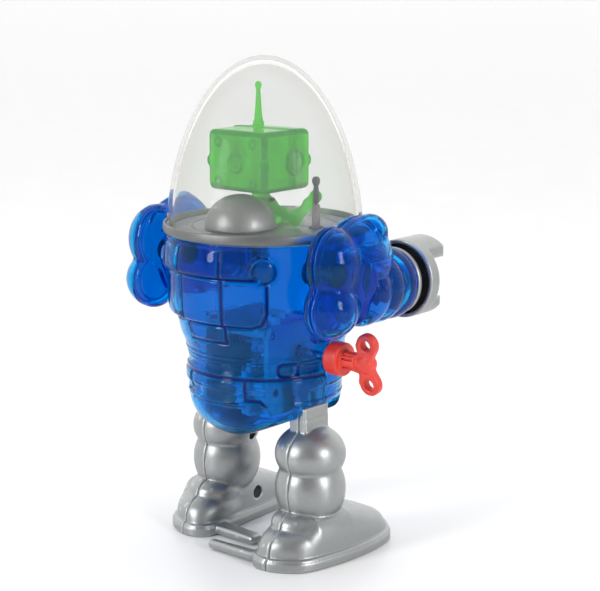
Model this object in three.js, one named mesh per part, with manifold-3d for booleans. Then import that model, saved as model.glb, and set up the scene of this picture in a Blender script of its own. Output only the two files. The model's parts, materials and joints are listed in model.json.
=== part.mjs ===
// Wind-up walking robot with a domed pilot.
// Millimetres, +Z up. The robot faces -Y, its right side is -X, and it stands on z = 0.
import * as THREE from 'three';
import { mergeVertices } from 'three/addons/utils/BufferGeometryUtils.js';
import Module from 'manifold-3d';

const wasm = await Module();
wasm.setup();

const RIGHT = -1;
const LEFT = 1;
const GAP = 0.3;
const WIDE = 200;

// ---------------------------------------------------------------- driving sizes

const TORSO = { top: 74.6, wall: 1.3, segments: 32 };
const KEEL = { z: 27.3, rise: 0.46, wall: 1 };
const BOWL = { centreR: 6, z: 37, radius: 12, depth: 10.4 };
const WELL = { inner: 9.4, outer: 18, low: 15, high: 36.4 };
const POCKET = { low: 52.5, high: 72.5, x: 17, y: 2.4 };
const DECK = { low: 74.9, floor: 76.1, top: 77.1, radius: 23.6, lip: 0.6, plug: 21.9, groove: 20.9 };
const DOME = { base: 76, top: 115, radius: 22.8, wall: 1.4, foot: 74.7, power: 1.8 };
const SEAT = { y: 8.5, radius: 8.3, squash: 0.93, lapHalf: 4.2, lapDepth: 3.4 };
const HEAD = {
  width: 17.5, depth: 16.3, height: 13.8, y: 1.85, low: 84.7, seamY: -0.2, corner: 1.6, wall: 1, dial: 3.1,
};
const NECK = { y: 1.85, z: 84.4, pin: 0.55, pinAt: [0.2, 82.1] };
const STICK = { x: -12.3, y: -3.7, postTop: 81.5, top: 87.9 };
const SHOULDER = { y: 6, z: 68, inner: 24.2, seam: 27.2, wall: 1.2, peg: 1.7 };
const ARM = { x: 26, z: 63.8, crest: 8.4, valley: 7.8, start: 1, end: -14.2, ribs: 3 };
const CLAW = {
  radius: 9.2, back: -17.6, front: -21, reach: 6.5, wall: 1, bore: 3.7, recess: 2, jawInside: 5.8,
  upper: { half: 5.6, from: 4.6 }, lower: { half: 6.6, from: 4.2, share: 0.6 },
};
const KEY = {
  z: 47.5, hub: 20.2, blade: 27.5, tip: 34, lobe: 2.6, spread: 4.75, thick: 2.2, tilt: 9, arbor: 1.05,
};
const LEG = { x: 15.4, neutral: -0.5, stride: 2.5, throw: 1.25, radius: 8.3 };
const LEG_SWELLS = [{ z: 15.9, height: 9.4 }, { z: 24.3, height: 6.8 }];
const LEG_STEM = { inside: -2.9, outside: 2.1, halfDepth: 4.3, low: 26, high: 33.2 };
const LEG_NECK = { inside: -2.2, outside: 1.9, high: 36 };
// Screws are centred on (y, z) places of the leg and sunk from its inner side.
const SCREW = { headRadius: 1.25, shank: 0.6, seat: -1.9, tip: 2.8, places: [[-5.2, 6.3], [-1.1, 22.9]] };
const HEEL_BAR = {
  root: -4, low: 0.3, high: 2.6,
  right: { tip: -19.6, rear: 14.6, width: 2.4 }, left: { tip: -18.6, rear: 11.8, width: 4 },
};
const FRAME = { inner: 9, thick: 1.2 };
const MODULE = 0.6;
const TEETH = { main: 30, wheel: 20, crankPinion: 10, secondPinion: 9, escapePinion: 7 };

// ---------------------------------------------------------------- materials

function plastic(color, options = {}) {
  return new THREE.MeshStandardMaterial({ color, roughness: 0.25, metalness: 0, ...options });
}

const MATERIALS = {
  clear: () => plastic(0xf2f4f4, { roughness: 0.08, transparent: true, opacity: 0.25 }),
  blue: () => plastic(0x0a4fc8, { roughness: 0.12, transparent: true, opacity: 0.75 }),
  green: () => plastic(0x5fd45a, { roughness: 0.2, transparent: true, opacity: 0.8 }),
  teal: () => plastic(0x4fa89a, { roughness: 0.3 }),
  silver: () => plastic(0xa3a7a6, { roughness: 0.35, metalness: 0.75 }),
  red: () => plastic(0xe04034, { roughness: 0.4 }),
  dark: () => plastic(0x2b2c30, { roughness: 0.4 }),
  brown: () => plastic(0x6a625d, { roughness: 0.45 }),
  white: () => plastic(0xe6e3da, { roughness: 0.4 }),
  brass: () => plastic(0xc09a4a, { roughness: 0.35, metalness: 0.9 }),
  steel: () => plastic(0xb4b6b8, { roughness: 0.3, metalness: 1 }),
};

// ---------------------------------------------------------------- solids

// A three.js geometry as a closed solid, facing outwards.
function solid(geometry) {
  const bare = geometry.clone();
  bare.deleteAttribute('normal');
  bare.deleteAttribute('uv');
  const welded = mergeVertices(bare, 1e-4);
  const position = welded.attributes.position;
  const corner = (index) => new THREE.Vector3().fromBufferAttribute(position, index);
  const triangles = [];
  let volume = 0;
  for (let i = 0; i < welded.index.count; i += 3) {
    const [a, b, c] = [0, 1, 2].map((step) => welded.index.getX(i + step));
    if (a === b || b === c || c === a) continue;
    triangles.push([a, b, c]);
    volume += corner(a).dot(corner(b).cross(corner(c)));
  }
  const outward = volume > 0 ? triangles : triangles.map(([a, b, c]) => [a, c, b]);
  return new wasm.Manifold(new wasm.Mesh({
    numProp: 3,
    vertProperties: new Float32Array(position.array),
    triVerts: new Uint32Array(outward.flat()),
  }));
}

function union(...parts) {
  return parts.reduce((whole, part) => whole.add(part));
}

function cut(body, ...tools) {
  return tools.reduce((rest, tool) => rest.subtract(tool), body);
}

// The solid of one side as a geometry; shapes are drawn for the left side and mirrored for the right.
function geometryOf(body, side = LEFT) {
  const mesh = body.getMesh();
  const geometry = new THREE.BufferGeometry();
  const index = Uint32Array.from(mesh.triVerts);
  geometry.setAttribute('position', new THREE.BufferAttribute(Float32Array.from(mesh.vertProperties), 3));
  if (side === RIGHT) {
    geometry.scale(-1, 1, 1);
    index.reverse();
  }
  geometry.setIndex(new THREE.BufferAttribute(index, 1));
  geometry.computeVertexNormals();
  return geometry;
}

function piece(name, body, material, side = LEFT) {
  const mesh = new THREE.Mesh(geometryOf(body, side), MATERIALS[material]());
  mesh.name = name;
  return mesh;
}

function placed(object, x, y, z) {
  object.position.set(x, y, z);
  return object;
}

function grouped(name, ...children) {
  const group = new THREE.Group();
  group.name = name;
  group.add(...children);
  return group;
}

function sideName(side, name) {
  return `${side === RIGHT ? 'right' : 'left'}_${name}`;
}

// A box between two corners.
function box([x0, y0, z0], [x1, y1, z1]) {
  const geometry = new THREE.BoxGeometry(x1 - x0, y1 - y0, z1 - z0);
  return solid(geometry.translate((x0 + x1) / 2, (y0 + y1) / 2, (z0 + z1) / 2));
}

function ball(radius, [x, y, z], [sx, sy, sz] = [1, 1, 1], segments = 16) {
  const geometry = new THREE.SphereGeometry(radius, segments, segments * 0.6);
  return solid(geometry.rotateX(Math.PI / 2).scale(sx, sy, sz).translate(x, y, z));
}

// A round bar from one x to another, centred on (y, z).
function barX(radius, from, to, [y, z] = [0, 0], segments = 12) {
  const geometry = new THREE.CylinderGeometry(radius, radius, to - from, segments);
  return solid(geometry.rotateZ(-Math.PI / 2).translate((from + to) / 2, y, z));
}

// A round bar, or a cone, from one z to another, centred on (x, y).
function barZ(lowRadius, topRadius, from, to, [x, y] = [0, 0], segments = 16) {
  const geometry = new THREE.CylinderGeometry(topRadius, lowRadius, to - from, segments);
  return solid(geometry.rotateX(Math.PI / 2).translate(x, y, (from + to) / 2));
}

// A bar between two points.
function strut(radius, start, end, endRadius = radius, segments = 7) {
  const from = new THREE.Vector3(...start);
  const to = new THREE.Vector3(...end);
  const along = to.clone().sub(from);
  const geometry = new THREE.CylinderGeometry(endRadius, radius, along.length(), segments);
  const turn = new THREE.Quaternion().setFromUnitVectors(new THREE.Vector3(0, 1, 0), along.normalize());
  const middle = from.add(to).divideScalar(2);
  return solid(geometry.applyQuaternion(turn).translate(...middle.toArray()));
}

// A profile of [radius, z] pairs turned about the z axis.
function turned(profile, segments = 32) {
  const points = profile.map(([radius, z]) => new THREE.Vector2(radius, z));
  return solid(new THREE.LatheGeometry(points, segments).rotateX(Math.PI / 2));
}

// A profile of [radius, forward] pairs turned about the arm's axis, which points to -Y.
function turnedForward(profile, segments = 28) {
  const points = profile.map(([radius, forward]) => new THREE.Vector2(radius, forward));
  return solid(new THREE.LatheGeometry(points, segments).rotateX(Math.PI));
}

// An outline drawn in (y, z), extruded from one x to another.
function plateX(shape, from, to) {
  const geometry = new THREE.ExtrudeGeometry(shape, { depth: to - from, bevelEnabled: false });
  const turn = new THREE.Matrix4().makeBasis(
    new THREE.Vector3(0, 1, 0), new THREE.Vector3(0, 0, 1), new THREE.Vector3(1, 0, 0));
  return solid(geometry.applyMatrix4(turn).translate(from, 0, 0));
}

// An outline drawn in (x, y), extruded from one z to another.
function plateZ(shape, from, to) {
  const options = { depth: to - from, bevelEnabled: false, curveSegments: 6 };
  return solid(new THREE.ExtrudeGeometry(shape, options).translate(0, 0, from));
}

function polygon(points) {
  return new THREE.Shape(points.map(([x, y]) => new THREE.Vector2(x, y)));
}

function smoothOutline(points, steps) {
  const curve = new THREE.CatmullRomCurve3(points.map(([x, y]) => new THREE.Vector3(x, y, 0)), true);
  return new THREE.Shape(curve.getPoints(steps).slice(0, -1).map((p) => new THREE.Vector2(p.x, p.y)));
}

// ---------------------------------------------------------------- torso

// The outer radius grows from the belt to the rim through these [radius, z] points.
const SIDE_CURVE = new THREE.SplineCurve([
  [18, 37], [18.65, 41.6], [17.8, 45.6], [19.9, 51.6], [21.6, 59], [22.6, 66], [23.4, TORSO.top],
].map(([radius, z]) => new THREE.Vector2(radius, z)));

function torsoProfile(inset, steps) {
  const bowl = [];
  for (let i = 0; i <= 4; i += 1) {
    const angle = (i / 4) * (Math.PI / 2);
    const radius = BOWL.centreR + (BOWL.radius - inset) * Math.sin(angle);
    bowl.push([radius, BOWL.z - (BOWL.depth - inset) * Math.cos(angle)]);
  }
  const sides = SIDE_CURVE.getPoints(steps).slice(1).map((p) => [p.x - inset, p.y]);
  const lift = inset > 0 ? 1 : 0;
  const top = TORSO.top + lift;
  return [[0, BOWL.z - BOWL.depth + inset], ...bowl, ...sides, [sides.at(-1)[0], top], [0, top]];
}

// Everything above the two planes that rise from the keel to the sides.
function aboveKeel(lift) {
  const side = WIDE / 4;
  const top = KEEL.z + side * KEEL.rise + lift;
  const wedge = polygon([[0, KEEL.z + lift], [side, top], [side, WIDE], [-side, WIDE], [-side, top]]);
  const geometry = new THREE.ExtrudeGeometry(wedge, { depth: WIDE, bevelEnabled: false });
  return solid(geometry.rotateX(Math.PI / 2).translate(0, WIDE / 2, 0));
}

// Room cut in both sides of the chest for the forearms.
function pocketed(body, inset) {
  const high = POCKET.high + (inset > 0 ? 2 : 0);
  const x = POCKET.x - inset;
  const y = POCKET.y + inset;
  return cut(
    body,
    box([x, -WIDE, POCKET.low - inset], [WIDE, y, high]),
    box([-WIDE, -WIDE, POCKET.low - inset], [-x, y, high]),
  );
}

// The raised panel over the back, in three tiers, between two edges.
const PANEL = { halfAngle: 42, low: 51.8, high: 73.4, inside: 15 };
const PANEL_TIERS = [
  [20.2, 51.8], [21.2, 55.8], [22.3, 57], [22.6, 62], [22.9, 66.8], [23.7, 68], [23.8, 72.6], [23.4, 73.4],
];
const BOSS = { angle: 40, reach: 21.9, z: 69.3, radius: 2.8 };

function backPanel() {
  const { halfAngle, low, high, inside } = PANEL;
  const reach = WIDE / 5;
  const edge = THREE.MathUtils.degToRad(halfAngle);
  const side = reach * Math.sin(edge);
  const depth = reach * Math.cos(edge);
  const fan = polygon([[0, 0], [side, depth], [side, reach], [-side, reach], [-side, depth]]);
  const tiers = turned([[inside, low], ...PANEL_TIERS, [inside, high], [inside, low]], TORSO.segments);
  return plateZ(fan, low, high).intersect(tiers);
}

function bosses() {
  const angle = THREE.MathUtils.degToRad(BOSS.angle);
  return [LEFT, RIGHT].map((side) => {
    const at = [side * BOSS.reach * Math.sin(angle), BOSS.reach * Math.cos(angle), BOSS.z];
    return ball(BOSS.radius, at, [1, 1, 1], 14);
  });
}

function torsoShell() {
  const outer = pocketed(turned(torsoProfile(0, 9), TORSO.segments), 0).intersect(aboveKeel(0));
  const outside = union(outer, backPanel(), ...bosses());
  const wallOnSlope = KEEL.wall * Math.hypot(1, KEEL.rise);
  const hollow = turned(torsoProfile(TORSO.wall, 6), 24);
  const inside = pocketed(hollow, TORSO.wall).intersect(aboveKeel(wallOnSlope));
  const reach = LEG_STEM.halfDepth + LEG.stride + 0.6;
  const wells = [LEFT, RIGHT].map((side) => box(
    [Math.min(side * WELL.inner, side * WELL.outer), LEG.neutral - reach, WELL.low],
    [Math.max(side * WELL.inner, side * WELL.outer), LEG.neutral + reach, WELL.high],
  ));
  const keyHole = barX(KEY.arbor + 0.35, -WIDE / 2, 0, [0, KEY.z]);
  const pegHole = barX(SHOULDER.peg + 2 * GAP, -WIDE / 2, WIDE / 2, [SHOULDER.y, SHOULDER.z]);
  return cut(outside, inside, ...wells, keyHole, pegHole);
}

function torso() {
  const shell = torsoShell();
  const half = GAP / 2;
  const back = shell.intersect(box([-WIDE, half, -WIDE], [WIDE, WIDE, WIDE]));
  const front = shell.intersect(box([-WIDE, -WIDE, -WIDE], [WIDE, -half, WIDE]));
  return grouped('torso', piece('torso_back_shell', back, 'blue'), piece('torso_front_shell', front, 'blue'));
}

// ---------------------------------------------------------------- deck, dome and seat

function deck() {
  const { low, floor, top, radius, lip, plug, groove } = DECK;
  const under = low + GAP;
  const seat = DOME.base - GAP;
  const body = turned([
    [0, under], [plug, under], [plug, low], [radius - 0.1, low], [radius + 0.15, low + 0.8], [radius, top],
    [radius - lip, top], [radius - lip, seat], [groove, seat], [groove, floor], [0, floor],
  ], 30);
  const post = barZ(1.9, 1.9, 60, 90, [STICK.x, STICK.y]);
  return piece('deck', cut(body, post), 'silver');
}

// The dome's radius at a height: an ellipse made a little fuller at the shoulder.
function domeRadius(z, radius, top) {
  const t = (z - DOME.foot) / (top - DOME.foot);
  return radius * Math.sqrt(Math.max(0, 1 - t ** DOME.power));
}

function domeCurve(radius, top, from, steps) {
  const points = [];
  for (let i = 0; i <= steps; i += 1) {
    const rise = Math.sin((i / steps) * (Math.PI / 2));
    const z = from + (top - from) * rise;
    points.push([i === steps ? 0 : domeRadius(z, radius, top), z]);
  }
  return points;
}

function dome() {
  const outer = domeCurve(DOME.radius, DOME.top, DOME.base, 8);
  const inner = domeCurve(DOME.radius - DOME.wall, DOME.top - DOME.wall, DOME.base, 6);
  return piece('dome', turned([...inner.reverse(), ...outer], 26), 'clear');
}

function seat() {
  const base = DECK.floor + GAP;
  const half = ball(SEAT.radius, [0, SEAT.y, base], [1, 1, SEAT.squash], 20);
  const body = half.intersect(box([-WIDE, -WIDE, base], [WIDE, WIDE, WIDE]));
  const { lapHalf, lapDepth } = SEAT;
  const lap = box([-lapHalf, -WIDE, base - 1], [lapHalf, lapDepth, WIDE]);
  return piece('seat', cut(body, lap), 'silver');
}

function stick() {
  const low = DECK.floor - 1;
  const post = union(
    barZ(0.95, 0.9, low, STICK.postTop, [0, 0], 12),
    barZ(1.6, 1.5, low, DECK.floor + 0.5, [0, 0], 12),
  );
  const socket = barZ(0.6, 0.6, STICK.postTop - 1.5, STICK.postTop + 1, [0, 0], 10);
  const knob = 0.95;
  const lever = union(
    barZ(0.35, 0.35, STICK.postTop - 1.2, STICK.top - knob, [0, 0], 10),
    barZ(0.7, 0.6, STICK.postTop + GAP, STICK.top - 3, [0, 0], 10),
    ball(knob, [0, 0, STICK.top - knob], [1, 1, 1], 9),
  );
  return placed(grouped(
    'stick',
    piece('stick_post', cut(post, socket), 'brown'),
    piece('stick_lever', lever, 'dark'),
  ), STICK.x, STICK.y, 0);
}

// ---------------------------------------------------------------- pilot

function pilotBody() {
  const base = DECK.floor + GAP;
  const chest = ball(3.3, [0, -0.6, 79.2], [1.05, 0.85, 1.1], 10);
  const hips = ball(3, [0, -2.2, base + 1.6], [1.2, 1.3, 0.8], 9);
  const collar = strut(2.2, [0, 0.4, 81], [0, NECK.y, NECK.z - 0.2], 1.9, 12);
  const limbs = [LEFT, RIGHT].flatMap((side) => {
    const knee = side * 2.4;
    return [
      strut(1.35, [side * 1.8, -3, 77.4], [knee, -9, 77.6], 1.2),
      strut(1.2, [knee, -9, 77.9], [knee, -9.8, base], 1.1),
    ];
  });
  const flat = box([-WIDE, -WIDE, base], [WIDE, WIDE, NECK.z]);
  const pinHole = barX(NECK.pin + 0.2, -4, 4, NECK.pinAt, 10);
  const body = cut(union(chest, hips, collar, ...limbs), pinHole);
  return piece('pilot_body', body.intersect(flat), 'green');
}

// The arm's joints run shoulder, elbow, wrist and hand; the right hand holds the lever.
function pilotArm(side, joints) {
  const [top, elbow, wrist, hand] = joints;
  const body = union(
    ball(1.3, top, [1, 1, 1], 8),
    strut(1.2, top, elbow, 1),
    ball(1.15, elbow, [1, 1, 1], 8),
    strut(1, elbow, wrist, 1.15),
    ball(1.5, hand, [1, 1, 1.15], 8),
    strut(1.15, wrist, hand, 1.1),
  );
  const lever = barZ(1, 1, 60, 100, [side * Math.abs(STICK.x), STICK.y], 12);
  return piece(sideName(side, 'pilot_arm'), cut(body, lever), 'green', LEFT);
}

function headBox(inset) {
  const { width, depth, height, low, corner } = HEAD;
  const w = width / 2 - inset;
  const d = depth / 2 - inset;
  const shape = new THREE.Shape();
  shape.moveTo(-w + corner, -d);
  shape.lineTo(w - corner, -d);
  shape.absarc(w - corner, -d + corner, corner, -Math.PI / 2, 0, false);
  shape.absarc(w - corner, d - corner, corner, 0, Math.PI / 2, false);
  shape.absarc(-w + corner, d - corner, corner, Math.PI / 2, Math.PI, false);
  shape.absarc(-w + corner, -d + corner, corner, Math.PI, 1.5 * Math.PI, false);
  return plateZ(shape, low + inset, low + height - inset);
}

function headShell() {
  const outer = headBox(0);
  const inner = headBox(HEAD.wall);
  const { width, depth, low, height, dial } = HEAD;
  const middle = low + height * 0.48;
  const dials = [LEFT, RIGHT].map((side) => {
    const [from, to] = [-0.6, 0.7].map((step) => side * (width / 2 + step)).sort((a, b) => a - b);
    return barX(dial, from, to, [HEAD.seamY - HEAD.y, middle], 20);
  });
  const [halfWidth, halfDepth, halfBand] = [width / 2 + 0.35, depth / 2 + 0.35, 1.5];
  const band = box([-halfWidth, -halfDepth, middle - halfBand], [halfWidth, halfDepth, middle + halfBand]);
  const socket = barZ(2.3, 2.3, low - 1, low + 2, [0, 0], 16);
  const mount = barZ(1, 1, low + height - 2, low + height + 2, [0, 0.2], 12);
  return cut(union(outer, band, ...dials), inner, socket, mount);
}

function head() {
  const shell = headShell();
  const seam = HEAD.seamY - HEAD.y;
  const half = GAP / 2;
  const back = shell.intersect(box([-WIDE, seam + half, 0], [WIDE, WIDE, WIDE]));
  const front = shell.intersect(box([-WIDE, -WIDE, 0], [WIDE, seam - half, WIDE]));
  const top = HEAD.low + HEAD.height;
  const tip = 109.2;
  const antenna = union(
    barZ(0.7, 0.7, top - 0.9, top + 0.4, [0, 0.2], 8),
    barZ(1.35, 1.2, top + GAP, top + 1.9, [0, 0.2], 8),
    barZ(1, 0.42, top + 1.5, tip - 0.8, [0, 0.2], 8),
    ball(0.8, [0, 0.2, tip - 0.8], [1, 1, 1], 8),
  );
  return placed(grouped(
    'pilot_head',
    piece('head_back', back, 'green'),
    piece('head_front', front, 'green'),
    piece('antenna', antenna, 'green'),
  ), 0, HEAD.y, 0);
}

function pilot() {
  const reach = Math.abs(STICK.x);
  const grip = [-reach + 0.9, STICK.y - 0.9, 83.1];
  const rightJoints = [[-3.9, 1.4, 80.6], [-9, -0.2, 77.6], [-reach + 1.4, -2.4, 81.6], grip];
  const leftJoints = [[3.9, 1.4, 80.6], [8.6, -0.6, 77.6], [7.4, -4.6, 77.4], [6.6, -6.4, 77.8]];
  const neckPin = piece('neck_pin', barX(NECK.pin, -2.9, 2.9, NECK.pinAt, 10), 'dark');
  return grouped(
    'pilot', pilotBody(), pilotArm(RIGHT, rightJoints), pilotArm(LEFT, leftJoints), neckPin, head());
}

// ---------------------------------------------------------------- arms

// The lobes of a shoulder, drawn for the left side.
const LOBES = [
  { radii: [7.8, 10.6, 11], at: [26.6, 0.6, 69.8] },
  { radii: [7, 7.2, 8.4], at: [26.2, 8.8, 71] },
  { radii: [7.2, 7.2, 7], at: [26.3, 9.6, 61.4] },
  { radii: [6.2, 6.6, 6.2], at: [25.8, 0.3, 61.8] },
  { radii: [4.1, 4.1, 4.1], at: [29, -2, 77.1] },
];

function lobes(inset, segments) {
  return union(...LOBES.map(({ radii, at }) => ball(1, at, radii.map((r) => r - inset), segments)));
}

// The shoulder is hollow, open at the front for the forearm, and split into a deep and a flat shell.
function shoulderShells(side) {
  const { inner, seam, wall, peg } = SHOULDER;
  const entry = ARM.crest + GAP;
  const sleeve = (radius, back) => {
    const geometry = new THREE.CylinderGeometry(radius, radius, 40, 24);
    return solid(geometry.translate(ARM.x, back - 20, ARM.z));
  };
  const outside = cut(
    lobes(0, 13),
    box([-WIDE, -WIDE, -WIDE], [inner, WIDE, WIDE]),
    sleeve(entry, ARM.start + GAP),
  );
  const hollow = cut(
    lobes(wall, 9),
    box([-WIDE, -WIDE, -WIDE], [inner + wall, WIDE, WIDE]),
    sleeve(entry + wall, ARM.start + GAP + wall),
  );
  const socket = barX(peg + GAP, 0, inner + wall + 1, [SHOULDER.y, SHOULDER.z]);
  const shell = cut(outside, hollow, socket);
  const half = GAP / 2;
  const deep = shell.intersect(box([seam + half, -WIDE, -WIDE], [WIDE, WIDE, WIDE]));
  const flat = shell.intersect(box([-WIDE, -WIDE, -WIDE], [seam - half, WIDE, WIDE]));
  return [
    piece(sideName(side, 'shoulder_outer_shell'), deep, 'blue', side),
    piece(sideName(side, 'shoulder_inner_shell'), flat, 'blue', side),
  ];
}

function shoulderPeg(side) {
  const { y, z, peg, inner, wall } = SHOULDER;
  const flange = peg + 1.1;
  const pocketWall = POCKET.y + TORSO.wall + GAP;
  const body = union(
    barX(peg, 19, inner + wall + 1, [y, z]),
    cut(barX(flange, 18.2, 19.4, [y, z]), box([0, 0, 0], [WIDE, pocketWall, WIDE])),
    barX(flange, inner + wall + GAP, inner + wall + 1.5, [y, z]),
  );
  return piece(sideName(side, 'shoulder_peg'), body, 'dark', side);
}

// The ribbed forearm: three swellings, each half a sine wave, along the arm's axis.
function forearm(side) {
  const { crest, valley, start, end, ribs } = ARM;
  const rib = (start - end) / ribs;
  const steps = 3;
  const profile = [[0, -start]];
  for (let i = 0; i < ribs; i += 1) {
    for (let j = i === 0 ? 0 : 1; j <= steps; j += 1) {
      const swell = (crest - valley) * Math.sin((j / steps) * Math.PI);
      profile.push([valley + swell, -start + rib * (i + j / steps)]);
    }
  }
  profile.push([3, -end], [3, -end - 3], [0, -end - 3]);
  return piece(sideName(side, 'forearm'), turnedForward(profile, 20), 'blue', side);
}

// A silver disc on a stub shaft; the claw turns on the shaft.
function wristDisc(side) {
  const back = -ARM.end + GAP;
  const disc = turnedForward([
    [0, back - 2.5], [2.6, back - 2.5], [2.6, back], [ARM.valley, back], [ARM.valley - 0.3, back + 1.4],
    [3.4, back + 1.4], [3.4, -CLAW.front - 1.2], [0, -CLAW.front - 1.2],
  ], 20);
  return piece(sideName(side, 'wrist_disc'), disc, 'silver', side);
}

// A cup open at the back, with a long upper jaw and a short lower one in front.
function claw(side) {
  const { radius, back, front, reach, wall, bore, recess, jawInside, upper, lower } = CLAW;
  const cup = turnedForward([
    [bore, -back + recess], [radius - wall, -back + recess], [radius - wall, -back], [radius - 0.3, -back],
    [radius, -back + 0.5], [radius, -front], [bore, -front], [bore, -back + recess],
  ], 22);
  const tube = (from, to) => turnedForward([
    [jawInside, from], [radius, from], [radius, to], [jawInside, to], [jawInside, from],
  ], 22);
  const root = -front - 0.2;
  const upperJaw = tube(root, -front + reach)
    .intersect(box([-upper.half, -WIDE, upper.from], [upper.half, WIDE, WIDE]));
  const lowerJaw = tube(root, -front + reach * lower.share)
    .intersect(box([-lower.half, -WIDE, -WIDE], [lower.half, WIDE, -lower.from]));
  return piece(sideName(side, 'claw'), union(cup, upperJaw, lowerJaw), 'silver', side);
}

function arm(side) {
  const reach = grouped(sideName(side, 'reach'), forearm(side), wristDisc(side), claw(side));
  placed(reach, side * ARM.x, 0, ARM.z);
  return grouped(sideName(side, 'arm'), ...shoulderShells(side), shoulderPeg(side), reach);
}

// ---------------------------------------------------------------- winding key

// A flat blade with two round lobes and holes, drawn in (x, z) and extruded across y.
function keyBlade() {
  const { blade, tip, lobe, spread, thick } = KEY;
  const centre = tip - lobe - 0.6;
  const shape = new THREE.Shape();
  const waist = 1.5;
  shape.moveTo(22, -waist);
  shape.lineTo(blade - 1, -waist);
  shape.quadraticCurveTo(blade, -waist, centre - lobe, -spread);
  shape.absarc(centre, -spread, lobe, Math.PI, 2.25 * Math.PI, false);
  shape.quadraticCurveTo(centre + 0.8, 0, centre + lobe * Math.SQRT1_2, spread - lobe * Math.SQRT1_2);
  shape.absarc(centre, spread, lobe, -0.25 * Math.PI, Math.PI, false);
  shape.quadraticCurveTo(blade, waist, blade - 1, waist);
  shape.lineTo(22, waist);
  shape.closePath();
  for (const sign of [-1, 1]) {
    const hole = new THREE.Path();
    hole.absarc(centre, sign * spread, 1.1, 0, 2 * Math.PI, true);
    shape.holes.push(hole);
  }
  const geometry = new THREE.ExtrudeGeometry(shape, { depth: thick, bevelEnabled: false, curveSegments: 6 });
  return solid(geometry.rotateX(Math.PI / 2).translate(0, thick / 2, 0));
}

function windingKey() {
  const hub = union(
    barX(3.9, KEY.hub, KEY.hub + 3.8, [0, 0], 18),
    barX(2.2, KEY.hub + 3, KEY.hub + 7.5, [0, 0], 12),
    barX(2.1, KEY.blade + 1, KEY.blade + 3.6, [0, 0], 12).intersect(box([0, -1.6, -3], [40, 1.6, 3])),
    keyBlade(),
  );
  const bore = barX(KEY.arbor + GAP, KEY.hub - 1, KEY.hub + 6, [0, 0], 12);
  const body = piece('winding_key', cut(hub, bore), 'red', RIGHT);
  body.rotation.x = THREE.MathUtils.degToRad(-KEY.tilt);
  return body;
}

// ---------------------------------------------------------------- clockwork

// The point where two circles meet, on the side of larger y.
function meeting([y0, z0], r0, [y1, z1], r1) {
  const apart = Math.hypot(y1 - y0, z1 - z0);
  const along = (r0 ** 2 - r1 ** 2 + apart ** 2) / (2 * apart);
  const across = Math.sqrt(r0 ** 2 - along ** 2);
  const [uy, uz] = [(y1 - y0) / apart, (z1 - z0) / apart];
  return [y0 + uy * along - uz * across, z0 + uz * along + uy * across];
}

function pitchRadius(teeth) {
  return (teeth * MODULE) / 2;
}

const MESH_GAP = 0.15;
const KEY_AXIS = [0, KEY.z];
const CRANK_AXIS = [LEG.neutral, 36.2];
const GUIDE_AXIS = [LEG.neutral, 42.6];
const SECOND_AXIS = meeting(
  KEY_AXIS, pitchRadius(TEETH.main + TEETH.secondPinion) + MESH_GAP,
  CRANK_AXIS, pitchRadius(TEETH.wheel + TEETH.crankPinion) + MESH_GAP);
const ESCAPE_AXIS = [CRANK_AXIS[0] - 7.9, CRANK_AXIS[1] + 1.9];
const PALLET_AXIS = [ESCAPE_AXIS[0] - 1.6, ESCAPE_AXIS[1] + 7];

// A spur gear's outline: four corners for each tooth, turned so that a tooth points at an angle.
function gearShape(teeth, pointing) {
  const pitch = pitchRadius(teeth);
  const tip = pitch + 0.7 * MODULE;
  const root = pitch - MODULE;
  const step = (2 * Math.PI) / teeth;
  const corners = [];
  for (let i = 0; i < teeth; i += 1) {
    const centre = pointing + i * step;
    const widths = [[root, -0.26], [tip, -0.09], [tip, 0.09], [root, 0.26]];
    for (const [radius, share] of widths) {
      const angle = centre + share * step;
      corners.push([radius * Math.cos(angle), radius * Math.sin(angle)]);
    }
  }
  return polygon(corners);
}

function gear(teeth, from, to, pointing = 0) {
  return plateX(gearShape(teeth, pointing), from, to);
}

function direction(from, to) {
  return Math.atan2(to[1] - from[1], to[0] - from[0]);
}

function onAxis(object, [y, z]) {
  return placed(object, 0, y, z);
}

function keyArbor() {
  const body = union(
    barX(KEY.arbor, -KEY.hub - 5, FRAME.inner + FRAME.thick, [0, 0], 12),
    barX(1.6, -6.2, -5.5, [0, 0], 12),
  );
  return piece('key_arbor', body, 'steel');
}

function mainGear() {
  const toSecond = direction(KEY_AXIS, SECOND_AXIS);
  const wheel = union(gear(TEETH.main, -8.4, -6.9, toSecond), barX(2.2, -8.6, -6.5, [0, 0], 14));
  return piece('main_gear', cut(wheel, barX(1.35, -9, -6, [0, 0], 12)), 'white');
}

// A flat spiral strip, thicker than life so that it stays one sound solid.
function mainspring() {
  const turns = 3.25;
  const steps = 36;
  const [inside, outside, strip] = [1.75, 5, 0.32];
  const edge = (offset) => Array.from({ length: steps + 1 }, (_, i) => {
    const angle = (i / steps) * turns * 2 * Math.PI;
    const radius = inside + (outside - inside) * (i / steps) + offset;
    return [radius * Math.cos(angle), radius * Math.sin(angle)];
  });
  const shape = polygon([...edge(0), ...edge(strip).reverse()]);
  return piece('mainspring', plateX(shape, -5, 0.2), 'steel');
}

function pinionTooth(teeth, from, to) {
  return direction(from, to) + Math.PI / teeth;
}

function secondWheel() {
  const pinion = gear(TEETH.secondPinion, -8.7, -4.2, pinionTooth(TEETH.secondPinion, SECOND_AXIS, KEY_AXIS));
  const wheel = gear(TEETH.wheel, -4.5, -3.1, direction(SECOND_AXIS, CRANK_AXIS));
  return piece('second_wheel', cut(union(pinion, wheel), barX(0.85, -10, 0, [0, 0], 10)), 'white');
}

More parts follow.
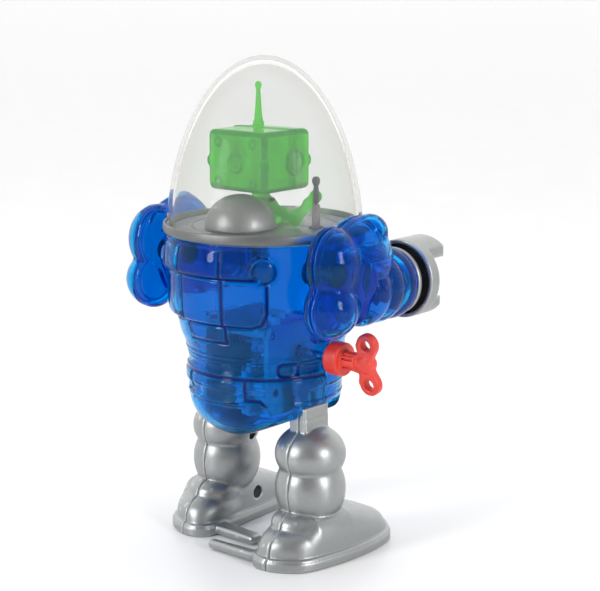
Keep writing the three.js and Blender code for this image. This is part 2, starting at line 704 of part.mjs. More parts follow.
function crankWheel() {
  const pinion = gear(TEETH.crankPinion, -4.7, 1.2, pinionTooth(TEETH.crankPinion, CRANK_AXIS, SECOND_AXIS));
  const wheel = gear(TEETH.wheel, 1, 2.4, direction(CRANK_AXIS, ESCAPE_AXIS));
  return piece('crank_wheel', cut(union(pinion, wheel), barX(1.1, -6, 4, [0, 0], 10)), 'white');
}

function escapeWheel() {
  const pinion = gear(TEETH.escapePinion, 0.8, 4.6, pinionTooth(TEETH.escapePinion, ESCAPE_AXIS, CRANK_AXIS));
  const teeth = 13;
  const corners = [];
  for (let i = 0; i < teeth; i += 1) {
    for (const [radius, share] of [[3.3, 0], [4.4, 0.08], [4.4, 0.18], [3.3, 0.6]]) {
      const angle = ((i + share) / teeth) * 2 * Math.PI;
      corners.push([radius * Math.cos(angle), radius * Math.sin(angle)]);
    }
  }
  const wheel = plateX(polygon(corners), 4.4, 5.5);
  return piece('escape_wheel', cut(union(pinion, wheel), barX(0.75, 0, 7, [0, 0], 10)), 'brass');
}

// A rocking anchor with a pallet on each side of the escape wheel.
function pallet() {
  const down = ESCAPE_AXIS[1] - PALLET_AXIS[1];
  const half = 1.2;
  const shape = polygon([
    [-3.6, down + 3.4], [-3, down + 3.2], [-1.6, -half], [1.7, -half],
    [6.6, down + 3.6], [7.3, down + 4.2], [2.2, half], [-half, half],
  ]);
  return piece('pallet', cut(plateX(shape, 4.3, 5.6), barX(0.75, 3, 7, [0, 0], 10)), 'brass');
}

function arbor(name, radius, from, to) {
  return piece(name, barX(radius, from, to, [0, 0], 10), 'steel');
}

function crank(side) {
  const reach = LEG.throw;
  const arm = union(
    barX(1.9, 10.6, 11.8, [0, 0], 16),
    barX(1.5, 10.6, 11.8, [-side * reach, 0], 16),
    box([10.6, Math.min(0, -side * reach), -1.4], [11.8, Math.max(0, -side * reach), 1.4]),
    barX(0.8, 11.5, 12.9, [-side * reach, 0], 12),
  );
  return piece(sideName(side, 'crank'), cut(arm, barX(0.55, 10, 11.4, [0, 0], 10)), 'white', side);
}

// A gearbox plate with a bearing hole for each axle; the left one carries two pillars.
function framePlate(side) {
  const { inner, thick } = FRAME;
  const outline = polygon([
    [-11.6, 36], [-10, 33.6], [9, 33.6], [10.8, 36], [10.8, 52], [9.4, 54.4], [-9.4, 54.4], [-11.6, 49],
  ]);
  const pillarAt = [[-9.6, 52.6], [9.2, 52.6]];
  const plate = plateX(outline, inner, inner + thick);
  const holes = [
    [KEY.arbor + GAP, KEY_AXIS], [0.9, SECOND_AXIS], [1.1, CRANK_AXIS],
    [0.9, ESCAPE_AXIS], [0.9, PALLET_AXIS], [0.95, GUIDE_AXIS],
  ].map(([radius, axis]) => barX(radius, 0, 20, axis, 10));
  const pegHoles = pillarAt.map((at) => barX(0.85, 0, 20, at, 10));
  const pillars = pillarAt.map((at) => union(
    barX(1.1, -inner + GAP, inner + 0.5, at, 12),
    barX(0.55, -inner - thick + 0.2, 0, at, 10),
  ));
  const body = side === LEFT ? cut(union(plate, ...pillars), ...holes) : cut(plate, ...holes, ...pegHoles);
  return piece(sideName(side, 'gearbox_plate'), body, 'teal', side);
}

function guidePin(side) {
  const body = barX(0.65, FRAME.inner + 0.2, 14.9, GUIDE_AXIS, 10);
  return piece(sideName(side, 'guide_pin'), body, 'steel', side);
}

function clockwork() {
  const end = FRAME.inner + FRAME.thick - 0.1;
  const crankshaft = arbor('crankshaft', 0.8, -end - 0.2, end + 0.2);
  return grouped(
    'clockwork',
    onAxis(grouped('key_axle', windingKey(), keyArbor(), mainGear(), mainspring()), KEY_AXIS),
    onAxis(grouped('second_axle', secondWheel(), arbor('second_arbor', 0.55, -end, end)), SECOND_AXIS),
    onAxis(grouped('crank_axle', crankWheel(), crankshaft, crank(RIGHT), crank(LEFT)), CRANK_AXIS),
    onAxis(grouped('escape_axle', escapeWheel(), arbor('escape_arbor', 0.45, -end, end)), ESCAPE_AXIS),
    onAxis(grouped('pallet_axle', pallet(), arbor('pallet_arbor', 0.45, -end, end)), PALLET_AXIS),
    framePlate(RIGHT), framePlate(LEFT), guidePin(RIGHT), guidePin(LEFT),
  );
}

// ---------------------------------------------------------------- legs

// The foot seen from above, about the leg's centre line; +x is outwards.
const FOOT_OUTLINE = [
  [0.2, 16.2], [5.2, 14], [8.3, 10.4], [10.4, 2.6], [11.3, -4], [11.4, -11.5], [9.9, -18.2], [5.2, -23],
  [0, -24.7], [-5, -25.2], [-6.9, -21], [-6.7, -12], [-6.8, -4], [-6.9, 4], [-6.7, 12], [-4.2, 15.6],
];

// The foot seen from the side: heel, instep and toe, as [y, z].
const FOOT_SIDE = [
  [-23.8, 0], [-23.2, 3], [-20.4, 6], [-14.5, 9], [-9.5, 10.4], [-5, 11.2],
  [6.6, 11.2], [8.6, 8.6], [12, 7.6], [14.4, 4.4], [15, 0],
];

function foot() {
  const flange = plateZ(smoothOutline(FOOT_OUTLINE, 30), 0, 2.8);
  const inset = FOOT_OUTLINE.map(([x, y]) => [x - Math.sign(x) * 1.1, y - Math.sign(y) * 1.1]);
  const upper = plateZ(smoothOutline(inset, 22), 2, 12).intersect(plateX(polygon(FOOT_SIDE), -20, 20));
  return union(flange, upper);
}

// The flat bar from the heel towards the other foot; the right foot's bar passes behind the left's.
function heelBar(side) {
  const { tip, rear, width } = side === RIGHT ? HEEL_BAR.right : HEEL_BAR.left;
  const shape = polygon([
    [HEEL_BAR.root, rear], [tip + 1, rear], [tip, rear - 0.8],
    [tip, rear - width], [HEEL_BAR.root, rear - width - 0.6],
  ]);
  return plateZ(shape, HEEL_BAR.low, HEEL_BAR.high);
}

function legPlate(side) {
  const low = 30;
  const shape = polygon([
    [-3.4, low], [3.4, low], [3.4, 38], [4.2, 40], [4.2, 44],
    [2.6, 45.6], [-2.6, 45.6], [-4.2, 44], [-4.2, 40], [-3.4, 38],
  ]);
  const slot = (y, halfY, halfZ, z) => polygon([
    [y - halfY, z - halfZ], [y + halfY, z - halfZ], [y + halfY, z + halfZ], [y - halfY, z + halfZ],
  ]);
  const guide = plateX(slot(0, LEG.stride + 1, 0.95, GUIDE_AXIS[1]), -5, 0);
  const pinAt = (side === RIGHT ? 1 : -1) * (LEG.throw - LEG.stride);
  const crankSlot = plateX(slot(pinAt, 1.1, LEG.throw + 1.2, CRANK_AXIS[1]), -5, -0.4);
  return { plate: plateX(shape, -2.2, -0.8), slots: [guide, crankSlot] };
}

// One leg about its centre line, drawn for the left side: +x is outwards and -x faces the other leg.
function leg(side) {
  const { inside, outside: outerFace, halfDepth, low, high } = LEG_STEM;
  const stem = box([inside, -halfDepth, low], [outerFace, halfDepth, high]);
  const neck = box([LEG_NECK.inside, -halfDepth, high - 1], [LEG_NECK.outside, halfDepth, LEG_NECK.high]);
  const { plate, slots } = legPlate(side);
  const outside = union(
    foot(),
    heelBar(side),
    ...LEG_SWELLS.map(({ z, height }) => ball(1, [0, 0, z], [LEG.radius, LEG.radius, height])),
    stem,
    neck,
    plate,
  );
  const { headRadius, shank, seat, tip, places } = SCREW;
  const screwHoles = places.map((at) => union(
    barX(headRadius + GAP, -12, seat + GAP, at, 12),
    barX(shank + GAP, -12, tip + 0.4, at, 10),
  ));
  const body = cut(outside, ...screwHoles, ...slots);
  const half = GAP / 2;
  const outer = body.intersect(box([half, -WIDE, -WIDE], [WIDE, WIDE, WIDE]));
  const inner = body.intersect(box([-WIDE, -WIDE, -WIDE], [-half, WIDE, WIDE]));
  const screws = places.map((at, i) => {
    const head = barX(headRadius, seat - 1.3, seat, at, 12);
    const screw = union(head, barX(shank, seat - 0.3, tip, at, 10));
    const cross = box([seat - 2.1, at[0] - 0.2, at[1] - 0.8], [seat - 0.7, at[0] + 0.2, at[1] + 0.8]);
    return piece(sideName(side, i === 0 ? 'foot_screw' : 'knee_screw'), cut(screw, cross), 'steel', side);
  });
  const stance = side === RIGHT ? LEG.stride : -LEG.stride;
  return placed(grouped(
    sideName(side, 'leg'),
    piece(sideName(side, 'leg_outer_half'), outer, 'silver', side),
    piece(sideName(side, 'leg_inner_half'), inner, 'silver', side),
    ...screws,
  ), side * LEG.x, LEG.neutral + stance, 0);
}

// The origin is the middle of the whole robot's footprint box, on the floor.
function centredOnFloor(robot) {
  robot.updateMatrixWorld(true);
  const middle = new THREE.Box3().setFromObject(robot, true).getCenter(new THREE.Vector3());
  robot.position.set(-middle.x, -middle.y, 0);
  return robot;
}

const group = centredOnFloor(grouped(
  'robot',
  torso(), deck(), dome(), seat(), stick(), pilot(),
  arm(RIGHT), arm(LEFT), clockwork(), leg(RIGHT), leg(LEFT),
));

export default group;
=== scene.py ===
"""The looks of a wind-up walking robot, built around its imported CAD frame.

Shapes are written in millimetres about the torso's own axis: +Z up, the robot faces -Y and its
right side is -X. Finished meshes are moved into the frame's metres as they are made.
"""

import json
import math

import bmesh
import bpy
import numpy as np
import openvdb
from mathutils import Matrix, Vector

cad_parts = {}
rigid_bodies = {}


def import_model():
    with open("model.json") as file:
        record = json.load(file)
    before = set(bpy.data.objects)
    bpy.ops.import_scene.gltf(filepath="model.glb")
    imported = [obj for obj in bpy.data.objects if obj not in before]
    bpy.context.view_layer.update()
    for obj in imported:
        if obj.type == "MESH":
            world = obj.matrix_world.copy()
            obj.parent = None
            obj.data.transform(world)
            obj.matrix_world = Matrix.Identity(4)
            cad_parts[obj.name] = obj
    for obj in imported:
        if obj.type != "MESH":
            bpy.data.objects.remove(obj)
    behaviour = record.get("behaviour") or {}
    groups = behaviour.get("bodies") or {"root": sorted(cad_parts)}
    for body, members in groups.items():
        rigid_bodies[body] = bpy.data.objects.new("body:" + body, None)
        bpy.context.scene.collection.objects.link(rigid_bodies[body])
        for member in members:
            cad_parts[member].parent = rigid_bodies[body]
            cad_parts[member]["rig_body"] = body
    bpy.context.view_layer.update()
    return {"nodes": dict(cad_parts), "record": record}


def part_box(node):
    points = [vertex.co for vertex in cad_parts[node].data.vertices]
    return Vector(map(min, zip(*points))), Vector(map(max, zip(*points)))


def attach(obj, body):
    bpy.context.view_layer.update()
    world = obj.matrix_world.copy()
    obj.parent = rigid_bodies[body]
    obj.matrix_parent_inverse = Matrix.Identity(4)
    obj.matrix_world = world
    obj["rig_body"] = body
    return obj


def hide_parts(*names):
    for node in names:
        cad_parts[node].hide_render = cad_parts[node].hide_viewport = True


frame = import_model()

MM = 0.001
GAP = 0.3
FAR = 200.0
RIGHT, LEFT = -1, 1
SIDES = {RIGHT: "right", LEFT: "left"}

dome_low, dome_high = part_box("dome")
AXIS = Vector(((dome_low.x + dome_high.x) / 2, (dome_low.y + dome_high.y) / 2, 0))
SLOT_OF = {part["node"]: part["material_slot"] for part in frame["record"]["subparts"]}

# ---------- sizes

TORSO = {"top": 74.6, "wall": 1.3, "hip": 37.0, "bowl": 10.4, "flat": 6.0}
KEEL = {"z": 27.3, "rise": 0.46, "wall": 1.0, "soft": 2.0}
WELL = {"inner": 9.4, "outer": 18.0, "low": 15.0, "high": 36.4}
TORSO_SIDE = [
    (18.0, 37), (18.3, 40.2), (18.75, 40.6), (18.75, 44.0), (18.1, 44.5), (17.9, 46.2),
    (18.6, 48.5), (19.8, 51.6), (20.5, 54.5), (21.6, 59), (22.2, 63), (22.75, 67), (23.4, 74.6),
]
POCKET = {"low": 52.5, "high": 72.5, "x": 17.0, "y": 2.4}
PANEL = {"edge": 42.0, "boss_angle": 40.0, "boss_z": 69.3, "boss": 2.9}
GROOVE = {"width": 0.8, "depth": 0.45}
BELT = {"ridges": (46.1, 47.0, 48.2), "line": 37.4}
HOLES = {"key": 1.4, "peg": 2.3}
DECK = {"low": 74.9, "floor": 76.1, "top": 77.1, "radius": 23.6}
DOME = {"base": 76.0, "top": 115.0, "radius": 22.8, "wall": 1.4, "foot": 74.7, "power": 1.8}
SEAT = {"y": 8.5, "radius": 8.3}
HEAD = {"width": 17.5, "depth": 16.3, "height": 13.8, "y": 1.85, "low": 84.7, "seam": -0.2, "tip": 109.2}
HEAD_MARKS = {"middle": 0.48, "dial": 3.1, "rivet_x": 5.2, "rivet_z": 4.5, "seam_rib": 0.75}
STICK = {"x": -12.3, "y": -3.7, "post": 81.5, "top": 87.9}
SHOULDER = {"y": 6.0, "z": 68.0, "inner": 24.2, "seam": 27.2, "wall": 1.2, "peg": 1.7}
LOBES = [
    ((26.6, 0.6, 69.8), (7.8, 10.6, 11.0)),
    ((26.2, 8.8, 71.0), (7.0, 7.2, 8.4)),
    ((26.3, 9.6, 61.4), (7.2, 7.2, 7.0)),
    ((25.8, 0.3, 61.8), (6.2, 6.6, 6.2)),
    ((29.0, -2.0, 77.1), (4.1, 4.1, 4.1)),
]
ARM = {"x": 26.0, "z": 63.8, "crest": 8.4, "valley": 7.8, "start": 1.0, "end": -14.2, "ribs": 3}
CLAW = {"radius": 9.2, "back": -17.6, "front": -21.0, "reach": 6.5}
KEY = {"z": 47.5, "hub": 20.2, "tip": 34.0, "lobe": 2.6, "spread": 4.75, "half_thick": 1.15, "tilt": -9.0}
LEG = {"x": 15.4, "neutral": -0.5, "stride": 2.5, "throw": 1.25, "radius": 8.3}
SWELLS = [(15.9, 9.4), (24.3, 6.8)]
STEM = {"inside": -2.9, "outside": 2.1, "half_depth": 4.3, "low": 26.0, "high": 33.2}
NECK = {"inside": -2.2, "outside": 1.9, "high": 36.0}
FOOT_OUTLINE = [
    (0.2, 16.2), (5.2, 14), (8.3, 10.4), (10.4, 2.6), (11.3, -4), (11.4, -11.5), (9.9, -18.2), (5.2, -23),
    (0, -24.7), (-5, -25.2), (-6.9, -21), (-6.7, -12), (-6.8, -4), (-6.9, 4), (-6.7, 12), (-4.2, 15.6),
]
FOOT_TOP = [
    (-24.5, 2.4), (-23.6, 3.2), (-20.5, 6), (-14.5, 8.8), (-9.5, 10.4),
    (-4, 11.6), (6, 11.2), (9, 8.6), (16, 6),
]
SCREWS = {"places": [(-5.2, 6.3), (-1.1, 22.9)], "head": 1.55, "shaft": 0.9}
CAMERA = {"place": (-227.73, 261.98, 132.41), "forward": (0.62435, -0.75335, -0.20653), "lens": 90.63}


# ---------- solids as distance fields
# A field takes x, y and z in millimetres and gives the distance to a surface, negative inside.

def soft_min(a, b, soft):
    if soft <= 0:
        return np.minimum(a, b)
    blend = np.maximum(soft - np.abs(a - b), 0) / soft
    return np.minimum(a, b) - blend * blend * soft / 4


def union(*fields, soft=0.0):
    def field(x, y, z):
        whole = fields[0](x, y, z)
        for other in fields[1:]:
            whole = soft_min(whole, other(x, y, z), soft)
        return whole
    return field


def cut(body, *tools, soft=0.0):
    def field(x, y, z):
        rest = -body(x, y, z)
        for tool in tools:
            rest = soft_min(rest, tool(x, y, z), soft)
        return -rest
    return field


def meet(*fields, soft=0.0):
    return lambda x, y, z: -union(*[lambda *p, f=f: -f(*p) for f in fields], soft=soft)(x, y, z)


def grown(field, amount):
    return lambda x, y, z: field(x, y, z) - amount


def hollow(field, wall):
    return cut(field, grown(field, -wall))


def moved(field, dx=0.0, dy=0.0, dz=0.0):
    return lambda x, y, z: field(x - dx, y - dy, z - dz)


def ellipsoid(centre, radii):
    def field(x, y, z):
        offsets = [p - c for p, c in zip((x, y, z), centre)]
        near = np.sqrt(sum((d / r) ** 2 for d, r in zip(offsets, radii)))
        slope = np.sqrt(sum((d / r**2) ** 2 for d, r in zip(offsets, radii)))
        return near * (near - 1) / np.maximum(slope, 1e-6)
    return field


def ball(centre, radius):
    return ellipsoid(centre, (radius, radius, radius))


def block(low, high, edge=0.0):
    middle = [(a + b) / 2 for a, b in zip(low, high)]
    half = [(b - a) / 2 - edge for a, b in zip(low, high)]

    def field(x, y, z):
        outs = [np.abs(p - c) - h for p, c, h in zip((x, y, z), middle, half)]
        outside = np.sqrt(sum(np.maximum(d, 0) ** 2 for d in outs))
        inside = np.minimum(np.maximum(np.maximum(outs[0], outs[1]), outs[2]), 0)
        return outside + inside - edge
    return field


def capsule(start, end, radius, end_radius=None):
    start, end = np.array(start, float), np.array(end, float)
    along = end - start
    last = radius if end_radius is None else end_radius

    def field(x, y, z):
        offset = (x - start[0], y - start[1], z - start[2])
        t = np.clip(sum(o * a for o, a in zip(offset, along)) / along.dot(along), 0, 1)
        away = np.sqrt(sum((o - t * a) ** 2 for o, a in zip(offset, along)))
        return away - (radius + (last - radius) * t)
    return field


def rod(axis, centre, radius, low, high, edge=0.0):
    """A round bar along axis 0, 1 or 2 from low to high; centre gives the other two coordinates."""
    def field(x, y, z):
        places = [x, y, z]
        along = places.pop(axis)
        across = np.sqrt((places[0] - centre[0]) ** 2 + (places[1] - centre[1]) ** 2) - radius
        return -soft_min(-across, -(np.abs(along - (low + high) / 2) - (high - low) / 2), edge)
    return field


def ring(axis, centre, along, radius, thickness):
    """A torus around axis 0, 1 or 2."""
    def field(x, y, z):
        places = [x, y, z]
        depth = places.pop(axis) - along
        across = np.sqrt((places[0] - centre[0]) ** 2 + (places[1] - centre[1]) ** 2) - radius
        return np.sqrt(across**2 + depth**2) - thickness
    return field


def closed_curve(points, steps=8):
    """A smooth loop through the points, as a Catmull-Rom curve."""
    p = np.array(points, float)
    t = np.linspace(0, 1, steps, endpoint=False)[:, None]
    loops = [np.roll(p, shift, axis=0) for shift in (1, 0, -1, -2)]
    pieces = []
    for a, b, c, d in zip(*loops):
        bend = 2 * a - 5 * b + 4 * c - d
        twist = 3 * b - a - 3 * c + d
        pieces.append(0.5 * (2 * b + (c - a) * t + bend * t**2 + twist * t**3))
    return np.concatenate(pieces)


def outline(loop, axes=(0, 1)):
    """The endless prism over a closed outline drawn in two of the axes."""
    loop = np.array(loop, float)

    def field(x, y, z):
        u, v = [(x, y, z)[axis] for axis in axes]
        nearest = np.full(np.broadcast(u, v).shape, np.inf)
        inside = np.zeros(nearest.shape, bool)
        for (au, av), (bu, bv) in zip(loop, np.roll(loop, -1, axis=0)):
            du, dv = bu - au, bv - av
            t = np.clip(((u - au) * du + (v - av) * dv) / (du * du + dv * dv), 0, 1)
            nearest = np.minimum(nearest, (u - au - t * du) ** 2 + (v - av - t * dv) ** 2)
            if bv != av:
                inside ^= ((av > v) != (bv > v)) & (u < du * (v - av) / dv + au)
        return np.where(inside, -1, 1) * np.sqrt(nearest)
    return field


def between(axis, low, high):
    return lambda x, y, z: np.abs((x, y, z)[axis] - (low + high) / 2) - (high - low) / 2 + 0 * (x + y + z)


# ---------- meshes

def added(name, data):
    """A new object in the scene."""
    thing = bpy.data.objects.new(name, data)
    bpy.context.scene.collection.objects.link(thing)
    return thing


def mesh_object(name, points, faces, side=LEFT, grooves=None):
    """A mesh drawn in millimetres about the torso's axis; the right side is the left one mirrored.

    The depth of the grooves at each point, from 0 to 1, is kept for the material, which paints shade in
    them.
    """
    points = np.array(points, float) * (side, 1, 1)
    faces = faces if isinstance(faces, list) else faces.tolist()
    mesh = bpy.data.meshes.new(name)
    mesh.from_pydata((points * MM + np.array(AXIS)).tolist(), [], faces)
    if grooves is not None:
        note_painted_line_shade(mesh, grooves)
    return tidied(added(name, mesh))


def note_painted_line_shade(mesh, depths):
    # The values say where the material paints shade along dark lines.
    mesh.attributes.new("painted_line_shade", "FLOAT", "POINT").data.foreach_set("value", depths.astype(np.float32))


def tidied(piece):
    """Merges repeated points, faces everything outwards and shades it smooth."""
    form = bmesh.new()
    form.from_mesh(piece.data)
    bmesh.ops.remove_doubles(form, verts=form.verts, dist=1e-7)
    bmesh.ops.dissolve_degenerate(form, dist=1e-8, edges=form.edges)
    bmesh.ops.recalc_face_normals(form, faces=form.faces)
    for face in form.faces:
        face.smooth = True
    form.to_mesh(piece.data)
    form.free()
    return piece


def moulded(name, field, low, high, pitch, side=LEFT):
    """The surface of a field inside a box, as an even mesh with one point each pitch."""
    margin = 2 * pitch
    counts = [int(math.ceil((b - a + 2 * margin) / pitch)) + 1 for a, b in zip(low, high)]
    x, y, z = [
        (a - margin + np.arange(n) * pitch).reshape([-1 if axis == k else 1 for k in range(3)])
        for axis, (a, n) in enumerate(zip(low, counts))
    ]
    values = np.broadcast_to(field(x, y, z), counts)
    band = 3 * pitch
    grid = openvdb.FloatGrid(background=band)
    grid.copyFromArray(np.clip(values, -band, band).astype(np.float32))
    points, quads = grid.convertToQuads(0.0)
    return mesh_object(name, points * pitch + (np.array(low) - margin), quads, side)


def rounded(points, radius, steps=3):
    """A closed profile with each corner turned into a small curve."""
    result = []
    count = len(points)
    for i, point in enumerate(points):
        corner = np.array(point, float)
        if point[0] == 0:
            result.append(corner)
            continue
        arms = [np.array(points[(i + way) % count], float) - corner for way in (-1, 1)]
        cuts = [arm / np.linalg.norm(arm) * min(radius, np.linalg.norm(arm) * 0.45) for arm in arms]
        for t in np.linspace(0, 1, steps + 1):
            result.append(corner + cuts[0] * (1 - t) ** 2 + cuts[1] * t**2)
    return result


def turned(name, profile, segments, centre=(0, 0), forward_from=None, side=LEFT):
    """A closed profile of (radius, height) turned about a vertical axis, or about the arm's axis to -Y."""
    angles = np.linspace(0, 2 * math.pi, segments, endpoint=False)
    profile = np.array(profile, float)
    rows = len(profile)
    radius, height = profile[:, :1], profile[:, 1:]
    u, v = radius * np.cos(angles), radius * np.sin(angles)
    w = height + 0 * angles
    if forward_from is None:
        points = np.stack([u + centre[0], v + centre[1], w], axis=-1)
    else:
        points = np.stack([u + forward_from[0], -w, v + forward_from[1]], axis=-1)
    faces = []
    for i in range(rows):
        for j in range(segments):
            k, m = (i + 1) % rows, (j + 1) % segments
            if profile[i][0] == 0 and profile[k][0] == 0:
                continue
            faces.append([i * segments + j, i * segments + m, k * segments + m, k * segments + j])
    return mesh_object(name, points.reshape(-1, 3), faces, side)


def carved(piece, *tools):
    """Cuts the tools out of a piece and removes them."""
    for tool in tools:
        change = piece.modifiers.new("carve", "BOOLEAN")
        change.solver = "MANIFOLD"
        change.object = tool
    graph = bpy.context.evaluated_depsgraph_get()
    result = bpy.data.meshes.new_from_object(piece.evaluated_get(graph))
    piece.modifiers.clear()
    piece.data = result
    for tool in tools:
        bpy.data.objects.remove(tool)
    return piece


def shade_lined(piece, line_distance, width):
    """Notes on the piece how close each point is to the lines of a field, for the painted shade that its
    material puts along them.
    """
    count = len(piece.data.vertices)
    places = np.empty(3 * count, np.float32)
    piece.data.vertices.foreach_get("co", places)
    x, y, z = ((places.reshape(-1, 3) - np.array(AXIS)) / MM).T
    note_painted_line_shade(piece.data, 1 - step(line_distance(x, y, z), 0.35 * width, width))
    return piece


def eased(piece, width):
    """Rounds the piece's hard edges a little, so that they catch the light."""
    change = piece.modifiers.new("eased", "BEVEL")
    change.width = width * MM
    change.segments = 2
    change.limit_method = "ANGLE"
    change.angle_limit = math.radians(35)


def finished(piece, node, finish=None):
    """Stands for a CAD node: it rides on the node's body, in its slot's finish or another."""
    body = frame["nodes"][node]["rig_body"]
    slot = SLOT_OF[node]
    piece.name = f"{node}_form"
    piece.data.materials.clear()
    piece.data.materials.append(finish_for(finish or slot))
    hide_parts(node)
    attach(piece, body)
    return piece


# ---------- materials

def mapped(tree, source, low, high, start, end):
    """A node that maps the source's range from start to end onto low to high."""
    node = tree.nodes.new("ShaderNodeMapRange")
    for name, value in (("From Min", start), ("From Max", end), ("To Min", low), ("To Max", high)):
        node.inputs[name].default_value = value
    tree.links.new(source, node.inputs["Value"])
    return node


class Look:
    """A material in the making: its Principled shader and the pattern nodes that feed it."""

    def __init__(self, name, **settings):
        self.material = bpy.data.materials.new(name)
        self.material.use_nodes = True
        self.tree = self.material.node_tree
        self.nodes, self.links = self.tree.nodes, self.tree.links
        self.shader = self.nodes["Principled BSDF"]
        self.output = self.nodes["Material Output"]
        self.place = self.nodes.new("ShaderNodeTexCoord").outputs["Object"]
        for key, value in settings.items():
            self.shader.inputs[key.replace("_", " ")].default_value = value

    def noise(self, size, detail=3.0, stretch=(1, 1, 1)):
        """Soft noise whose blots are about size millimetres across."""
        place = self.nodes.new("ShaderNodeMapping")
        place.inputs["Scale"].default_value = [1 / s for s in stretch]
        self.links.new(self.place, place.inputs["Vector"])
        node = self.nodes.new("ShaderNodeTexNoise")
        node.inputs["Scale"].default_value = 1 / (size * MM)
        node.inputs["Detail"].default_value = detail
        self.links.new(place.outputs["Vector"], node.inputs["Vector"])
        return node.outputs["Fac"]

    def scaled(self, source, low, high, start=0.3, end=0.7):
        return mapped(self.tree, source, low, high, start, end).outputs["Result"]

    def mixed(self, factor, first, second):
        """A colour between two others; each is a colour or a socket."""
        node = self.nodes.new("ShaderNodeMix")
        node.data_type = "RGBA"
        self.links.new(factor, node.inputs["Factor"])
        for socket, value in ((node.inputs[6], first), (node.inputs[7], second)):
            if isinstance(value, bpy.types.NodeSocket):
                self.links.new(value, socket)
            else:
                socket.default_value = (*value, 1)
        return node.outputs[2]

    def attribute(self, name):
        node = self.nodes.new("ShaderNodeAttribute")
        node.attribute_name = name
        return node.outputs["Fac"]

    def edges(self):
        """Rises on sharp outer edges; flat faces and creases stay at 0."""
        node = self.nodes.new("ShaderNodeNewGeometry")
        return self.scaled(node.outputs["Pointiness"], 0, 1, 0.5, 0.58)

    def rim(self, spread):
        """Rises towards the surfaces that are seen edge-on."""
        node = self.nodes.new("ShaderNodeLayerWeight")
        node.inputs["Blend"].default_value = spread
        return self.scaled(node.outputs["Facing"], 0, 1, 0.35, 0.95)

    def feed(self, name, source):
        self.links.new(source, self.shader.inputs[name])

    def bumps(self, *layers):
        """Surface relief from (pattern, height in millimetres) pairs."""
        normal = None
        for pattern, height in layers:
            node = self.nodes.new("ShaderNodeBump")
            node.inputs["Distance"].default_value = height * MM
            self.links.new(pattern, node.inputs["Height"])
            if normal is not None:
                self.links.new(normal, node.inputs["Normal"])
            normal = node.outputs["Normal"]
        self.links.new(normal, self.shader.inputs["Normal"])

    def lets_lamps_through(self, tint):
        """Light from lamps passes straight through, tinted, so that what is inside is lit."""
        rays = self.nodes.new("ShaderNodeLightPath")
        clear = self.nodes.new("ShaderNodeBsdfTransparent")
        clear.inputs["Color"].default_value = (*tint, 1)
        mix = self.nodes.new("ShaderNodeMixShader")
        self.links.new(rays.outputs["Is Shadow Ray"], mix.inputs["Fac"])
        self.links.new(self.shader.outputs["BSDF"], mix.inputs[1])
        self.links.new(clear.outputs["BSDF"], mix.inputs[2])
        self.links.new(mix.outputs["Shader"], self.output.inputs["Surface"])


def clear_plastic():
    look = Look("clear_plastic", IOR=1.025, Transmission_Weight=0.95, Coat_Weight=0.05, Coat_Roughness=0.05)
    haze = look.noise(14, 2)
    body = look.mixed(haze, (0.865, 0.87, 0.865), (0.895, 0.895, 0.89))
    look.feed("Base Color", look.mixed(look.rim(0.6), body, (0.80, 0.785, 0.77)))
    look.feed("Roughness", look.scaled(look.noise(6), 0.02, 0.06))
    look.bumps((look.noise(9, 1), 0.002), (look.noise(0.5), 0.0002))
    look.lets_lamps_through((0.97, 0.97, 0.97))
    return look.material


def blue_plastic():
    look = Look("blue_plastic", IOR=1.17, Coat_Weight=0.15, Coat_Roughness=0.04)
    flow = look.scaled(look.noise(11, 2, (1, 1, 2)), 0, 1)
    body = look.mixed(flow, (0.0008, 0.31, 0.72), (0.0012, 0.37, 0.78))
    # Painted shade in the grooves: a dark blue that lets less light through.
    painted_line_shade = look.attribute("painted_line_shade")
    look.feed("Base Color", look.mixed(painted_line_shade, body, (0.001, 0.012, 0.13)))
    look.feed("Transmission Weight", look.scaled(painted_line_shade, 0.96, 0.35, 0, 1))
    look.feed("Roughness", look.scaled(look.noise(3), 0.02, 0.07))
    look.bumps((look.noise(8, 1), 0.03), (look.noise(0.6), 0.002))
    look.lets_lamps_through((0.35, 0.70, 0.97))
    return look.material


def green_plastic():
    look = Look("green_plastic", IOR=1.08)
    flow = look.scaled(look.noise(5, 3), 0, 1)
    # Painted shade along the head's box edges, seam, ring, rivets and ear dials: a dark green that lets less
    # light through.
    painted_line_shade = look.attribute("painted_line_shade")
    body = look.mixed(flow, (0.05, 0.50, 0.02), (0.09, 0.60, 0.04))
    look.feed("Base Color", look.mixed(painted_line_shade, body, (0.004, 0.18, 0.01)))
    look.feed("Transmission Weight", look.scaled(painted_line_shade, 0.78, 0.3, 0, 1))
    look.feed("Roughness", look.scaled(look.noise(1.2), 0.13, 0.22))
    look.bumps((look.noise(2.5, 2), 0.006), (look.noise(0.35), 0.003))
    look.lets_lamps_through((0.6, 0.9, 0.5))
    return look.material


def silver_plastic():
    return metallic("silver_plastic", (0.28, 0.292, 0.294), (0.38, 0.39, 0.388), 0.38)


# A darker copy of the silver plastic, as painted shade on the deck and the seat.
def silver_in_painted_shade():
    return metallic("silver_in_painted_shade", (0.125, 0.13, 0.128), (0.175, 0.18, 0.177), 0.46)


def metallic(name, dark, light, roughness):
    """Silver-grey plastic with metal flakes in it, paler on its edges."""
    look = Look(name, Metallic=0.82, Coat_Weight=0.12, Coat_Roughness=0.3)
    flake = look.scaled(look.noise(0.12, 1), 0, 1)
    paint = look.mixed(flake, dark, light)
    look.feed("Base Color", look.mixed(look.edges(), paint, [1.35 * level for level in light]))
    look.feed("Roughness", look.scaled(look.noise(2.5), roughness - 0.05, roughness + 0.06))
    look.bumps((look.noise(5, 2), 0.02), (look.noise(0.14, 1), 0.0025))
    return look.material


